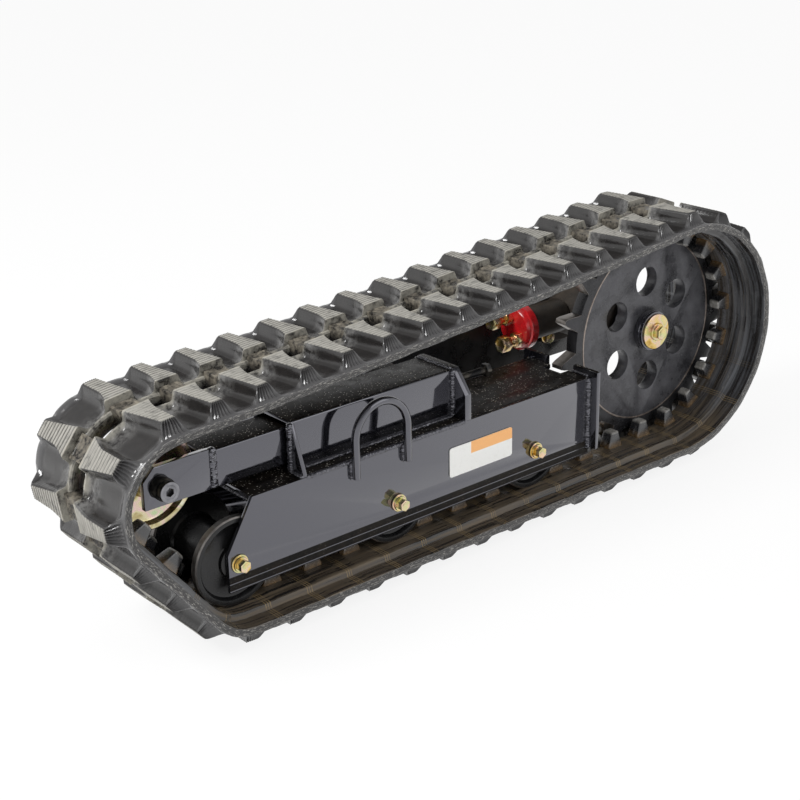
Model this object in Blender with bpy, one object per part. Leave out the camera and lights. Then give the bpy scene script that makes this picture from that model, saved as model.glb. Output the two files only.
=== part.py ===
"""Rubber track undercarriage unit of a mini skid steer loader, left-hand side.

X runs to the rear, where the drive sprocket is, Y runs inboard to the chassis, and Z is up.
Lengths are in metres. Pieces are laid out from the front roller's axle at x = 0, with the
belt's middle at y = 0 and the ground at z = 0. The root empty then puts the origin under the
middle of the whole unit's box.
"""
import math

import bpy
import bmesh
from mathutils import Matrix, Vector

FIT_GAP = 0.0003                # between pieces that touch

# Belt: depths are measured from its steel cords, the line that keeps its length
BELT_PITCH = 0.072
BELT_WIDTH = 0.230
CARCASS_OUT = 0.007
LUG_HEIGHT = 0.020              # above the carcass
FLAP_IN = 0.005                 # thin edge, inner surface
PATH_IN = 0.015                 # raised path that the rollers run on
BAR_IN = 0.018                  # steel bar between two guide lugs
GUIDE_HEIGHT = 0.028            # above the roller path
FLAP_WIDTH = 0.030
PATH_BEVEL = 0.003
GUIDE_OUTER_Y = 0.045
GUIDE_INNER_Y = 0.020
GUIDE_DRAFT = 0.003
GUIDE_TIP_LENGTH = 0.018
LUG_LENGTH = 0.034              # along the belt, at its root
LUG_TIP_END_LENGTH = 0.017      # at the belt's edge
LUG_TIP_MID_LENGTH = 0.032      # at the belt's middle
LUG_TIP_OUTER_Y = 0.095
LUG_TIP_INNER_Y = 0.022
MIDDLE_BLOCK_DROP = 0.009       # below the lugs' tips
MIDDLE_BLOCK_Y = 0.018
TOP_SAG = 0.006

# Drive sprocket
TOOTH_COUNT = 17
SPROCKET_THICKNESS = 0.022
TOOTH_TIP_OUT = 0.0155          # past the belt's cords
TOOTH_ROOT_HALF = 0.0145
TOOTH_TIP_HALF = 0.0065
SPROCKET_SETBACK = 0.203        # behind the roller frame's rear end
FACE_HOLES = 6
FACE_HOLE_RADIUS = 0.026
FACE_HOLE_CIRCLE = 0.0864
FACE_HOLE_TURN = math.radians(93.65)

# Sprocket hub, its bolt and the drive motor
HUB_BARREL_RADIUS = 0.0345
HUB_BARREL_LENGTH = 0.0175
HUB_NECK_RADIUS = 0.030
HUB_SLEEVE_RADIUS = 0.045
HUB_SLEEVE_LENGTH = 0.019
SHAFT_RADIUS = 0.0175
HUB_WASHER_RADIUS = 0.031
HUB_WASHER_THICKNESS = 0.004
HUB_BOLT_FLATS = 0.021
HUB_BOLT_HEAD = 0.013
BEARING_RADIUS = 0.052
MOTOR_FLANGE_SIZE = 0.132
MOTOR_FLANGE_THICKNESS = 0.014
MOTOR_RADIUS = 0.050
MOTOR_LENGTH = 0.060
MOTOR_CAP_RADIUS = 0.042
MOTOR_CAP_LENGTH = 0.015

# Port block in front of the drive motor, with two hose fittings
PORT_BLOCK_RADIUS = 0.041
PORT_BLOCK_LENGTH = 0.022
PORT_BLOCK_GAP = 0.005          # to the mounting plate
PORT_NECK_RADIUS = 0.030
PORT_NECK_LENGTH = 0.088
PORT_OFFSET_Y = 0.013
PORT_OFFSET_Z = 0.017
PORT_HEX_FLATS = 0.024
PORT_HEX_LENGTH = 0.013
PORT_TUBE_RADIUS = 0.0085
PORT_TUBE_LENGTH = 0.014
PORT_NUT_FLATS = 0.026
PORT_NUT_LENGTH = 0.018

# Road rollers, on axles bolted through the side panels
ROLLER_COUNT = 3
ROLLER_SPACING = 0.286
ROLLER_RADIUS = 0.066
ROLLER_SIDE_GAP = 0.0012        # beside the panels
FLANGE_CLEARANCE = 0.0015       # beside the guide lugs
ROLLER_DRUM_RADIUS = 0.0345
ROLLER_RIM = 0.010
ROLLER_DISH = 0.007
ROLLER_BOSS_RADIUS = 0.024
WRAP_MARGIN = 0.002             # the belt bends a little wider than the front roller
AXLE_RADIUS = 0.0125
AXLE_BOLT_RADIUS = 0.006
BOLT_WASHER_RADIUS = 0.0135
BOLT_WASHER_THICKNESS = 0.0025
BOLT_FLANGE_RADIUS = 0.0115
BOLT_FLANGE_THICKNESS = 0.0025
BOLT_FLATS = 0.016
BOLT_HEAD = 0.011

# Roller frame: two side panels under one top plate
PANEL_OUTER_Y = 0.068
PANEL_THICKNESS = 0.006
PANEL_BOTTOM_Z = 0.067
FRAME_TOP_Z = 0.200
TOP_PLATE_THICKNESS = 0.008
PANEL_FRONT_X = -0.0175
PANEL_CHAMFER_RUN = 0.045
PANEL_CHAMFER_DROP = 0.076
FRAME_OVERHANG = 0.1225         # behind the last roller's axle
SPROCKET_SLOT_HALF = 0.020
SPROCKET_SLOT_DEPTH = 0.018
END_PLATE_THICKNESS = 0.008
END_PLATE_OUTER_Y = 0.084
END_PLATE_INNER_Y = 0.030
END_PLATE_RISE = 0.012          # above the top plate
END_PLATE_LOW = 0.011           # above the panels' lower edge

# Main beam on the frame, and the gussets at its ends
BEAM_FRONT_X = 0.1155
BEAM_LENGTH = 0.305
BEAM_WIDTH = 0.080
BEAM_HEIGHT = 0.076
BEAM_WALL = 0.008
FRONT_GUSSET_THICKNESS = 0.007
REAR_GUSSET_THICKNESS = 0.012
REAR_GUSSET_SHOULDER = 0.041
REAR_GUSSET_RISE = 0.002

# Idler fork that slides in the beam, and its adjuster
IDLER_NOMINAL_X = -0.0985
IDLER_Z = 0.245
IDLER_WRAP = 0.090              # the cords' radius round the idler
IDLER_RIM_HALF = 0.0165
IDLER_RIM_WALL = 0.009
IDLER_WEB_HALF = 0.004
IDLER_HUB_RADIUS = 0.022
IDLER_SIDE_GAP = 0.0007
FORK_CLEARANCE = 0.0015
FORK_WALL = 0.006
FORK_FRONT_GAP = 0.006          # behind the idler's rim
FORK_LENGTH = 0.365
CHEEK_THICKNESS = 0.009
CHEEK_HEIGHT = 0.058
CHEEK_NOSE = 0.024              # ahead of the idler's axle
CHEEK_CHAMFER = 0.018
CHEEK_OVERLAP = 0.011           # along the fork tube
IDLER_PIN_RADIUS = 0.010
IDLER_COLLAR_RADIUS = 0.0165
IDLER_COLLAR_LENGTH = 0.016
IDLER_HEAD_RADIUS = 0.0128
IDLER_HEAD_LENGTH = 0.010
IDLER_NUT_FLATS = 0.024
IDLER_NUT_LENGTH = 0.012
ADJUSTER_RADIUS = 0.006
ADJUSTER_CLEARANCE = 0.0008
ADJUSTER_REACH = 0.090          # of the screw behind the rear gusset
ADJUSTER_HEAD_FLATS = 0.019
ADJUSTER_HEAD_LENGTH = 0.009
LOCK_NUT_FLATS = 0.022
LOCK_NUT_LENGTH = 0.010

# Tie-down loop on the outer panel
LOOP_X = 0.252
LOOP_ROD_RADIUS = 0.00625
LOOP_LEG_SPACING = 0.097
LOOP_LEG_DROP = 0.0255          # below the top plate's face
LOOP_LEG_RISE = 0.032           # above it, where the bend starts

# Blank sign plate
SIGN_X = 0.453
SIGN_Z = 0.1405
SIGN_LENGTH = 0.131
SIGN_HEIGHT = 0.048
SIGN_THICKNESS = 0.001

# Inboard mounting plate, with the arms that carry the beam
MOUNT_GAP = 0.080               # from the belt's inner edge
MOUNT_THICKNESS = 0.010
MOUNT_FRONT_X = 0.130
MOUNT_LOW_Z = 0.095
MOUNT_TOP_Z = 0.292
MOUNT_REAR_MARGIN = 0.098       # round the sprocket's axle
MOUNT_TAPER = 0.110
ARM_WIDTH = 0.060
ARM_HEIGHT = 0.048
ARM_INSET = 0.022               # from the beam's ends

ROUND_SIDES = 24
WHEEL_SIDES = 36

# Colour, roughness and metallic value of each finish
FINISHES = {
    "black_rubber": ((0.028, 0.028, 0.027), 0.62, 0.0),
    "dark_cast_steel": ((0.045, 0.045, 0.048), 0.45, 0.7),
    "gloss_black_paint": ((0.012, 0.012, 0.013), 0.18, 0.0),
    "yellow_zinc": ((0.62, 0.46, 0.22), 0.30, 1.0),
    "black_oxide": ((0.020, 0.020, 0.021), 0.40, 0.8),
    "red_paint": ((0.55, 0.02, 0.02), 0.30, 0.0),
    "white_enamel": ((0.80, 0.80, 0.78), 0.40, 0.0),
}

# Heights and radii that follow from the sizes above
LUG_TIP_OUT = CARCASS_OUT + LUG_HEIGHT
GUIDE_IN = PATH_IN + GUIDE_HEIGHT
SPROCKET_WRAP = TOOTH_COUNT * BELT_PITCH / (2 * math.pi)
SPROCKET_Z = SPROCKET_WRAP + LUG_TIP_OUT
ROLLER_Z = LUG_TIP_OUT + PATH_IN + FIT_GAP + ROLLER_RADIUS
ROLLER_WRAP = ROLLER_Z - LUG_TIP_OUT + WRAP_MARGIN
BEAM_LOW_Z = FRAME_TOP_Z + FIT_GAP
BEAM_TOP_Z = BEAM_LOW_Z + BEAM_HEIGHT
BEAM_MID_Z = (BEAM_LOW_Z + BEAM_TOP_Z) / 2
BEAM_REAR_X = BEAM_FRONT_X + BEAM_LENGTH
FRAME_REAR_X = (ROLLER_COUNT - 1) * ROLLER_SPACING + FRAME_OVERHANG
SPROCKET_X = FRAME_REAR_X + SPROCKET_SETBACK
ROLLER_OUTER_Y = PANEL_OUTER_Y - PANEL_THICKNESS - ROLLER_SIDE_GAP
MOUNT_OUTER_Y = BELT_WIDTH / 2 + MOUNT_GAP


def bar_chord(wrap, pieces):
    """Distance from a wheel's axle to the middle of a belt bar bent round it in flat pieces."""
    return (wrap - BAR_IN) * math.cos(LUG_LENGTH / wrap / pieces / 2)


class BeltPath:
    """Line of the belt's cords round its wheels, walked from under the front roller."""

    def __init__(self, idler_x):
        rear_x = (ROLLER_COUNT - 1) * ROLLER_SPACING
        self.wheels = [
            (-WRAP_MARGIN, LUG_TIP_OUT + ROLLER_WRAP, ROLLER_WRAP),
            (rear_x, LUG_TIP_OUT + ROLLER_WRAP, ROLLER_WRAP),
            (SPROCKET_X, SPROCKET_Z, SPROCKET_WRAP),
            (idler_x, IDLER_Z, IDLER_WRAP),
        ]
        headings = []
        straights = []
        for index, (x, z, radius) in enumerate(self.wheels):
            next_x, next_z, next_radius = self.wheels[(index + 1) % len(self.wheels)]
            span = math.hypot(next_x - x, next_z - z)
            lean = math.asin((radius - next_radius) / span)
            headings.append(math.atan2(next_z - z, next_x - x) + lean)
            straights.append(span * math.cos(lean))
        self.segments = []
        for index, (heading, straight) in enumerate(zip(headings, straights)):
            self.segments.append(("straight", index, heading, straight))
            turn = (headings[(index + 1) % len(headings)] - heading) % (2 * math.pi)
            wheel = (index + 1) % len(self.wheels)
            self.segments.append(("wheel", wheel, heading, turn * self.wheels[wheel][2]))
        self.length = sum(segment[3] for segment in self.segments)

    def at(self, distance):
        """Point on the cords, outward direction and the radius of the bend there."""
        distance %= self.length
        for kind, wheel, heading, length in self.segments:
            if distance <= length:
                break
            distance -= length
        x, z, radius = self.wheels[wheel]
        if kind == "wheel":
            heading += distance / radius
            distance = 0.0
        along = Vector((math.cos(heading), 0, math.sin(heading)))
        outward = Vector((along.z, 0, -along.x))
        point = Vector((x, 0, z)) + outward * radius + along * distance
        if kind == "straight" and wheel == 2:
            share = distance / length
            point -= outward * TOP_SAG * 4 * share * (1 - share)
        return point, outward, radius if kind == "wheel" else math.inf


def closed_belt_path():
    """Move the idler until the loop is a whole number of pitches long."""
    links = round(BeltPath(IDLER_NOMINAL_X).length / BELT_PITCH)
    far = IDLER_NOMINAL_X - BELT_PITCH
    near = IDLER_NOMINAL_X + BELT_PITCH
    for _ in range(50):
        middle = (far + near) / 2
        if BeltPath(middle).length > links * BELT_PITCH:
            far = middle
        else:
            near = middle
    return BeltPath(near), links, near


def finish_material(name):
    """Material of one finish, made once."""
    material = bpy.data.materials.get(name)
    if material is None:
        color, roughness, metallic = FINISHES[name]
        material = bpy.data.materials.new(name)
        material.use_nodes = True
        shader = material.node_tree.nodes["Principled BSDF"]
        shader.inputs["Base Color"].default_value = (*color, 1.0)
        shader.inputs["Roughness"].default_value = roughness
        shader.inputs["Metallic"].default_value = metallic
        material.diffuse_color = (*color, 1.0)
    return material


def add_object(name, bm, finish, parent, location=(0, 0, 0), smooth=False):
    """Object made from a bmesh, with outward faces, hung on its parent."""
    bmesh.ops.recalc_face_normals(bm, faces=bm.faces)
    mesh = bpy.data.meshes.new(name)
    bm.to_mesh(mesh)
    bm.free()
    if smooth:
        mesh.shade_smooth()
        mesh.set_sharp_from_angle(angle=math.radians(35))
    mesh.materials.append(finish_material(finish))
    piece = bpy.data.objects.new(name, mesh)
    piece.location = location
    piece.parent = parent
    bpy.context.scene.collection.objects.link(piece)
    return piece


def drill(piece, bm):
    """Cut a closed shape, given in the piece's own coordinates, out of the piece."""
    bmesh.ops.recalc_face_normals(bm, faces=bm.faces)
    mesh = bpy.data.meshes.new(piece.name + "_cutter")
    bm.to_mesh(mesh)
    bm.free()
    cutter = bpy.data.objects.new(mesh.name, mesh)
    cutter.parent = piece
    cutter.hide_render = True
    cutter.display_type = "WIRE"
    bpy.context.scene.collection.objects.link(cutter)
    modifier = piece.modifiers.new("drill", "BOOLEAN")
    modifier.operation = "DIFFERENCE"
    modifier.solver = "EXACT"
    modifier.object = cutter


def prism(outline, axis, low, high, bm=None):
    """Flat outline pushed along an axis: (x, z) along y, (y, z) along x or (x, y) along z."""
    bm = bm or bmesh.new()
    place = {
        "x": lambda a, b: (low, a, b),
        "y": lambda a, b: (a, low, b),
        "z": lambda a, b: (a, b, low),
    }[axis]
    step = {"x": (high - low, 0, 0), "y": (0, high - low, 0), "z": (0, 0, high - low)}[axis]
    base = bm.faces.new([bm.verts.new(place(a, b)) for a, b in outline])
    pushed = bmesh.ops.extrude_face_region(bm, geom=[base], use_keep_orig=True)
    moved = [item for item in pushed["geom"] if isinstance(item, bmesh.types.BMVert)]
    bmesh.ops.translate(bm, verts=moved, vec=step)
    return bm


def box_outline(a_low, a_high, b_low, b_high):
    """Four corners of an upright rectangle."""
    return [(a_low, b_low), (a_high, b_low), (a_high, b_high), (a_low, b_high)]


def hex_radius(flats, angle):
    """Distance from a hexagon's centre to its edge in one direction."""
    within = (angle + math.pi / 6) % (math.pi / 3) - math.pi / 6
    return flats / 2 / math.cos(within)


def turned(rings, sides=ROUND_SIDES, bored=False, centre=(0, 0), bm=None):
    """Solid of rings along y. A ring is (y, radius), or (y, flats, "hex") for a hexagon.

    With bored, the last ring joins the first and leaves the bore open.
    """
    bm = bm or bmesh.new()
    loops = []
    for y, size, *shape in rings:
        loop = []
        for side in range(sides):
            angle = 2 * math.pi * side / sides
            radius = hex_radius(size, angle) if shape else size
            x = centre[0] + radius * math.cos(angle)
            z = centre[1] + radius * math.sin(angle)
            loop.append(bm.verts.new((x, y, z)))
        loops.append(loop)
    pairs = list(zip(loops, loops[1:]))
    if bored:
        pairs.append((loops[-1], loops[0]))
    else:
        bm.faces.new(loops[0])
        bm.faces.new(loops[-1])
    for first, second in pairs:
        for side in range(sides):
            after = (side + 1) % sides
            bm.faces.new((first[side], first[after], second[after], second[side]))
    return bm


def belt_stations(path, links):
    """Distances of the belt's cross sections: (start of lug, end of lug) for each pitch.

    Where the belt bends tightly, each stretch gets a section in its middle as well.
    """
    tight = 2 * IDLER_WRAP

    def split(start, end):
        near_bend = min(path.at(start)[2], path.at((start + end) / 2)[2], path.at(end)[2])
        return [start, (start + end) / 2] if near_bend < tight else [start]

    spans = []
    for link in range(links):
        start = link * BELT_PITCH - LUG_LENGTH / 2
        end = start + LUG_LENGTH
        lug = split(start, end) + [end]
        gap = split(end, start + BELT_PITCH)
        spans.append((lug, gap + [start + BELT_PITCH]))
    return spans


class BeltMesh:
    """Belt surface laid along the path: corners are shared by their station, y and depth."""

    def __init__(self, path):
        self.path = path
        self.bm = bmesh.new()
        self.corners = {}

    def corner(self, distance, y, depth):
        """Vertex at a distance along the path, y across it and depth out from the cords."""
        key = (round(distance % self.path.length, 6) % round(self.path.length, 6), y, depth)
        if key not in self.corners:
            point, outward, _ = self.path.at(distance)
            point = point + outward * depth
            self.corners[key] = self.bm.verts.new((point.x, y, point.z))
        return self.corners[key]

    def strip(self, sections):
        """Quads between neighbouring sections, each a list of corners."""
        for first, second in zip(sections, sections[1:]):
            for (a, b), (c, d) in zip(zip(first, first[1:]), zip(second, second[1:])):
                self.bm.faces.new((a, b, d, c))

    def block(self, stations, y_low, y_high, base, tips):
        """Raised block on the patch between two y values, its tip corners given by a rule."""
        low = [self.corner(s, y_low, base) for s in stations]
        high = [self.corner(s, y_high, base) for s in stations]
        shares = [(s - stations[0]) / (stations[-1] - stations[0]) for s in stations]
        top_low = [self.tip(stations, share, *tips[0]) for share in shares]
        top_high = [self.tip(stations, share, *tips[1]) for share in shares]
        self.strip([low, top_low, top_high, high])
        for end in (0, -1):
            self.bm.faces.new((low[end], top_low[end], top_high[end], high[end]))

    def tip(self, stations, share, y, length, depth):
        """Tip corner: the patch's stations squeezed to the tip's length."""
        middle = (stations[0] + stations[-1]) / 2
        point, outward, _ = self.path.at(middle + (share - 0.5) * length)
        point = point + outward * depth
        return self.bm.verts.new((point.x, y, point.z))


def lay_lug(belt, stations):
    """Ground lug: two halves, and the lower block between them."""
    half = BELT_WIDTH / 2
    edge = (LUG_TIP_OUTER_Y, LUG_TIP_END_LENGTH, LUG_TIP_OUT)
    inner = (LUG_TIP_INNER_Y, LUG_TIP_MID_LENGTH, LUG_TIP_OUT)
    low = (MIDDLE_BLOCK_Y, LUG_TIP_END_LENGTH, LUG_TIP_OUT - MIDDLE_BLOCK_DROP)
    for side in (-1, 1):
        tips = [(side * y, length, depth) for y, length, depth in (edge, inner)]
        belt.block(stations, side * half, side * GUIDE_INNER_Y, CARCASS_OUT, tips)
    tips = [(side * low[0], low[1], low[2]) for side in (-1, 1)]
    belt.block(stations, -GUIDE_INNER_Y, GUIDE_INNER_Y, CARCASS_OUT, tips)


def lay_guides(belt, stations):
    """Pair of guide lugs on the inner side, and the steel bar between them."""
    for side in (-1, 1):
        tips = [
            (side * (GUIDE_OUTER_Y - GUIDE_DRAFT), GUIDE_TIP_LENGTH, -GUIDE_IN),
            (side * (GUIDE_INNER_Y + GUIDE_DRAFT), GUIDE_TIP_LENGTH, -GUIDE_IN),
        ]
        belt.block(stations, side * GUIDE_OUTER_Y, side * GUIDE_INNER_Y, -PATH_IN, tips)
    bar_y = GUIDE_INNER_Y - GUIDE_DRAFT / 2
    tips = [(side * bar_y, LUG_LENGTH, -BAR_IN) for side in (-1, 1)]
    belt.block(stations, -GUIDE_INNER_Y, GUIDE_INNER_Y, -PATH_IN, tips)


def rubber_track(unit, path, links):
    """Endless belt with its lugs, guide lugs and the windows that the sprocket drives."""
    belt = BeltMesh(path)
    half = BELT_WIDTH / 2
    shoulder = half - FLAP_WIDTH

    def wall(side):
        rows = (
            (side * GUIDE_OUTER_Y, -PATH_IN),
            (side * (shoulder - PATH_BEVEL), -PATH_IN),
            (side * shoulder, -FLAP_IN),
            (side * half, -FLAP_IN),
            (side * half, CARCASS_OUT),
        )
        return lambda s: [belt.corner(s, y, depth) for y, depth in rows]

    def window(side):
        rows = (
            (side * GUIDE_OUTER_Y, -PATH_IN),
            (side * GUIDE_INNER_Y, -PATH_IN),
            (side * GUIDE_INNER_Y, CARCASS_OUT),
            (side * half, CARCASS_OUT),
        )
        return lambda s: [belt.corner(s, y, depth) for y, depth in rows]

    for lug, gap in belt_stations(path, links):
        for side in (-1, 1):
            belt.strip([wall(side)(s) for s in lug])
            belt.strip([wall(side)(s) for s in gap])
            belt.strip([window(side)(s) for s in gap])
        for end in (lug[0], lug[-1]):
            across = [belt.corner(end, side * GUIDE_INNER_Y, depth)
                      for side, depth in ((-1, -PATH_IN), (1, -PATH_IN),
                                          (1, CARCASS_OUT), (-1, CARCASS_OUT))]
            belt.bm.faces.new(across)
        lay_lug(belt, lug)
        lay_guides(belt, lug)
    return add_object("rubber_track", belt.bm, "black_rubber", unit)


def sprocket_outline(path):
    """Toothed outline, with a tooth in the middle of each of the belt's windows."""
    rear_straights = path.segments[0][3] + path.segments[1][3] + path.segments[2][3]
    phase = (BELT_PITCH / 2 - rear_straights) / SPROCKET_WRAP - math.pi / 2
    root = bar_chord(SPROCKET_WRAP, 1) - FIT_GAP
    tip = SPROCKET_WRAP + TOOTH_TIP_OUT
    step = 2 * math.pi / TOOTH_COUNT
    outline = []
    for tooth in range(TOOTH_COUNT):
        middle = phase + tooth * step
        flank = TOOTH_ROOT_HALF / root
        crest = TOOTH_TIP_HALF / tip
        corners = [
            (root, -step / 2), (root, -flank),
            (tip - TOOTH_TIP_HALF, -crest), (tip, -crest / 2),
            (tip, crest / 2), (tip - TOOTH_TIP_HALF, crest),
            (root, flank),
        ]
        for radius, turn in corners:
            outline.append((radius * math.cos(middle + turn), radius * math.sin(middle + turn)))
    return outline


def drive_sprocket(unit, path):
    """Toothed plate with six round holes and a bore for its hub."""
    half = SPROCKET_THICKNESS / 2
    plate = add_object(
        "drive_sprocket", prism(sprocket_outline(path), "y", -half, half),
        "dark_cast_steel", unit, (SPROCKET_X, 0, SPROCKET_Z))
    holes = turned([(-2 * half, HUB_NECK_RADIUS + FIT_GAP), (2 * half, HUB_NECK_RADIUS + FIT_GAP)])
    for hole in range(FACE_HOLES):
        angle = FACE_HOLE_TURN + 2 * math.pi * hole / FACE_HOLES
        centre = (FACE_HOLE_CIRCLE * math.cos(angle), FACE_HOLE_CIRCLE * math.sin(angle))
        rings = [(-2 * half, FACE_HOLE_RADIUS), (2 * half, FACE_HOLE_RADIUS)]
        turned(rings, centre=centre, bm=holes)
    drill(plate, holes)


def sprocket_hub(unit):
    """Hub through the sprocket, with the washer and bolt that hold it on the motor's shaft."""
    place = (SPROCKET_X, 0, SPROCKET_Z)
    half = SPROCKET_THICKNESS / 2 + FIT_GAP
    outer_y = -half - HUB_BARREL_LENGTH
    sleeve_y = half + HUB_SLEEVE_LENGTH
    bore = SHAFT_RADIUS + FIT_GAP
    rings = [
        (outer_y, bore), (outer_y, HUB_BARREL_RADIUS), (-half, HUB_BARREL_RADIUS),
        (-half, HUB_NECK_RADIUS), (half, HUB_NECK_RADIUS), (half, HUB_SLEEVE_RADIUS),
        (sleeve_y, HUB_SLEEVE_RADIUS), (sleeve_y, bore),
    ]
    add_object("sprocket_hub", turned(rings, bored=True), "dark_cast_steel", unit, place, True)
    washer_in = outer_y - FIT_GAP
    washer_out = washer_in - HUB_WASHER_THICKNESS
    rim = [(washer_out, HUB_WASHER_RADIUS), (washer_in, HUB_WASHER_RADIUS)]
    add_object("hub_washer", turned(rim), "yellow_zinc", unit, place, True)
    head_in = washer_out - FIT_GAP
    head = [(head_in, HUB_BOLT_FLATS, "hex"), (head_in - HUB_BOLT_HEAD, HUB_BOLT_FLATS, "hex")]
    add_object("hub_bolt", turned(head), "yellow_zinc", unit, place)
    return outer_y, sleeve_y


def drive_motor(unit, shaft_y, sleeve_y):
    """Bearing housing with its shaft, square flange and motor body."""
    place = (SPROCKET_X, 0, SPROCKET_Z)
    housing_y = sleeve_y + FIT_GAP
    flange_in = MOUNT_OUTER_Y - FIT_GAP
    flange_out = flange_in - MOTOR_FLANGE_THICKNESS
    shaft_end = shaft_y + FIT_GAP
    rings = [
        (shaft_end, SHAFT_RADIUS), (housing_y, SHAFT_RADIUS), (housing_y, BEARING_RADIUS),
        (flange_out - FIT_GAP, BEARING_RADIUS),
    ]
    add_object("motor_bearing_housing", turned(rings), "gloss_black_paint", unit, place, True)
    half = MOTOR_FLANGE_SIZE / 2
    flange = prism(box_outline(-half, half, -half, half), "y", flange_out, flange_in)
    bmesh.ops.bevel(
        flange, geom=[edge for edge in flange.edges
                      if abs(edge.verts[0].co.y - edge.verts[1].co.y) > FIT_GAP],
        offset=half / 4, segments=3, affect="EDGES")
    add_object("motor_flange", flange, "gloss_black_paint", unit, place)
    start = flange_in + FIT_GAP
    body_end = start + MOTOR_LENGTH
    rings = [
        (start, MOTOR_RADIUS), (body_end, MOTOR_RADIUS), (body_end, MOTOR_CAP_RADIUS),
        (body_end + MOTOR_CAP_LENGTH, MOTOR_CAP_RADIUS),
    ]
    add_object("drive_motor", turned(rings), "red_paint", unit, place, True)


def port_block(unit):
    """Round block on a neck in front of the motor's housing, and its two hose fittings."""
    rear = SPROCKET_X - BEARING_RADIUS - FIT_GAP
    block_rear = rear - PORT_NECK_LENGTH - FIT_GAP
    block_front = block_rear - PORT_BLOCK_LENGTH
    middle_y = MOUNT_OUTER_Y - PORT_BLOCK_GAP - PORT_BLOCK_RADIUS

    def add_along_x(name, rings, finish, y, z):
        bm = turned(rings)
        bmesh.ops.rotate(bm, verts=bm.verts, matrix=quarter_turn())
        add_object(name, bm, finish, unit, (0, y, z), True)

    neck = [(-rear, PORT_NECK_RADIUS), (-rear + PORT_NECK_LENGTH, PORT_NECK_RADIUS)]
    add_along_x("port_neck", neck, "gloss_black_paint", middle_y, SPROCKET_Z)
    block = [(-block_rear, PORT_BLOCK_RADIUS), (-block_front, PORT_BLOCK_RADIUS)]
    add_along_x("port_block", block, "red_paint", middle_y, SPROCKET_Z)
    seat = -block_front + FIT_GAP
    hex_end = seat + PORT_HEX_LENGTH
    tube_end = hex_end + PORT_TUBE_LENGTH
    rings = [
        (seat, PORT_HEX_FLATS, "hex"), (hex_end, PORT_HEX_FLATS, "hex"),
        (hex_end, PORT_TUBE_RADIUS), (tube_end, PORT_TUBE_RADIUS),
        (tube_end, PORT_NUT_FLATS, "hex"),
        (tube_end + PORT_NUT_LENGTH, PORT_NUT_FLATS, "hex"),
    ]
    for name, side in (("port_fitting_outer", -1), ("port_fitting_inner", 1)):
        add_along_x(name, rings, "yellow_zinc", middle_y + side * PORT_OFFSET_Y,
                    SPROCKET_Z + side * PORT_OFFSET_Z)


def roller_names():
    """Names of the rollers from front to rear."""
    return [f"road_roller_{index + 1}" for index in range(ROLLER_COUNT)]


def road_rollers(unit):
    """Rollers: two dished flange wheels on a drum, each on its own bolted axle."""
    inner_y = GUIDE_OUTER_Y + FLANGE_CLEARANCE
    bore = AXLE_RADIUS + FIT_GAP
    side = [
        (ROLLER_OUTER_Y, bore), (ROLLER_OUTER_Y, ROLLER_BOSS_RADIUS),
        (ROLLER_OUTER_Y - ROLLER_DISH, ROLLER_BOSS_RADIUS),
        (ROLLER_OUTER_Y - ROLLER_DISH, ROLLER_RADIUS - ROLLER_RIM),
        (ROLLER_OUTER_Y, ROLLER_RADIUS - ROLLER_RIM), (ROLLER_OUTER_Y, ROLLER_RADIUS),
        (inner_y, ROLLER_RADIUS), (inner_y, ROLLER_DRUM_RADIUS),
    ]
    rings = side + [(-y, radius) for y, radius in reversed(side)]
    for index, name in enumerate(roller_names()):
        place = (index * ROLLER_SPACING, 0, ROLLER_Z)
        roller = turned(rings, sides=WHEEL_SIDES, bored=True)
        add_object(name, roller, "dark_cast_steel", unit, place, True)


def roller_axles(unit):
    """Axle between the panels, with a washer and flanged hexagon head at each end."""
    shoulder = PANEL_OUTER_Y - PANEL_THICKNESS - FIT_GAP
    washer = PANEL_OUTER_Y + FIT_GAP
    flange = washer + BOLT_WASHER_THICKNESS
    head = flange + BOLT_FLANGE_THICKNESS
    half = [
        (head + BOLT_HEAD, BOLT_FLATS, "hex"), (head, BOLT_FLATS, "hex"),
        (head, BOLT_FLANGE_RADIUS), (flange, BOLT_FLANGE_RADIUS),
        (flange, BOLT_WASHER_RADIUS), (washer, BOLT_WASHER_RADIUS),
        (washer, AXLE_BOLT_RADIUS), (shoulder, AXLE_BOLT_RADIUS), (shoulder, AXLE_RADIUS),
    ]
    rings = half + [(-y, size, *shape) for y, size, *shape in reversed(half)]
    for index in range(ROLLER_COUNT):
        place = (index * ROLLER_SPACING, 0, ROLLER_Z)
        add_object(f"roller_axle_{index + 1}", turned(rings), "yellow_zinc", unit, place)


def panel_outline():
    """Side panel: a long plate with its upper front corner cut away."""
    shoulder_z = FRAME_TOP_Z - PANEL_CHAMFER_DROP
    return [
        (PANEL_FRONT_X, PANEL_BOTTOM_Z), (FRAME_REAR_X, PANEL_BOTTOM_Z),
        (FRAME_REAR_X, FRAME_TOP_Z), (PANEL_FRONT_X + PANEL_CHAMFER_RUN, FRAME_TOP_Z),
        (PANEL_FRONT_X, shoulder_z),
    ]


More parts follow.
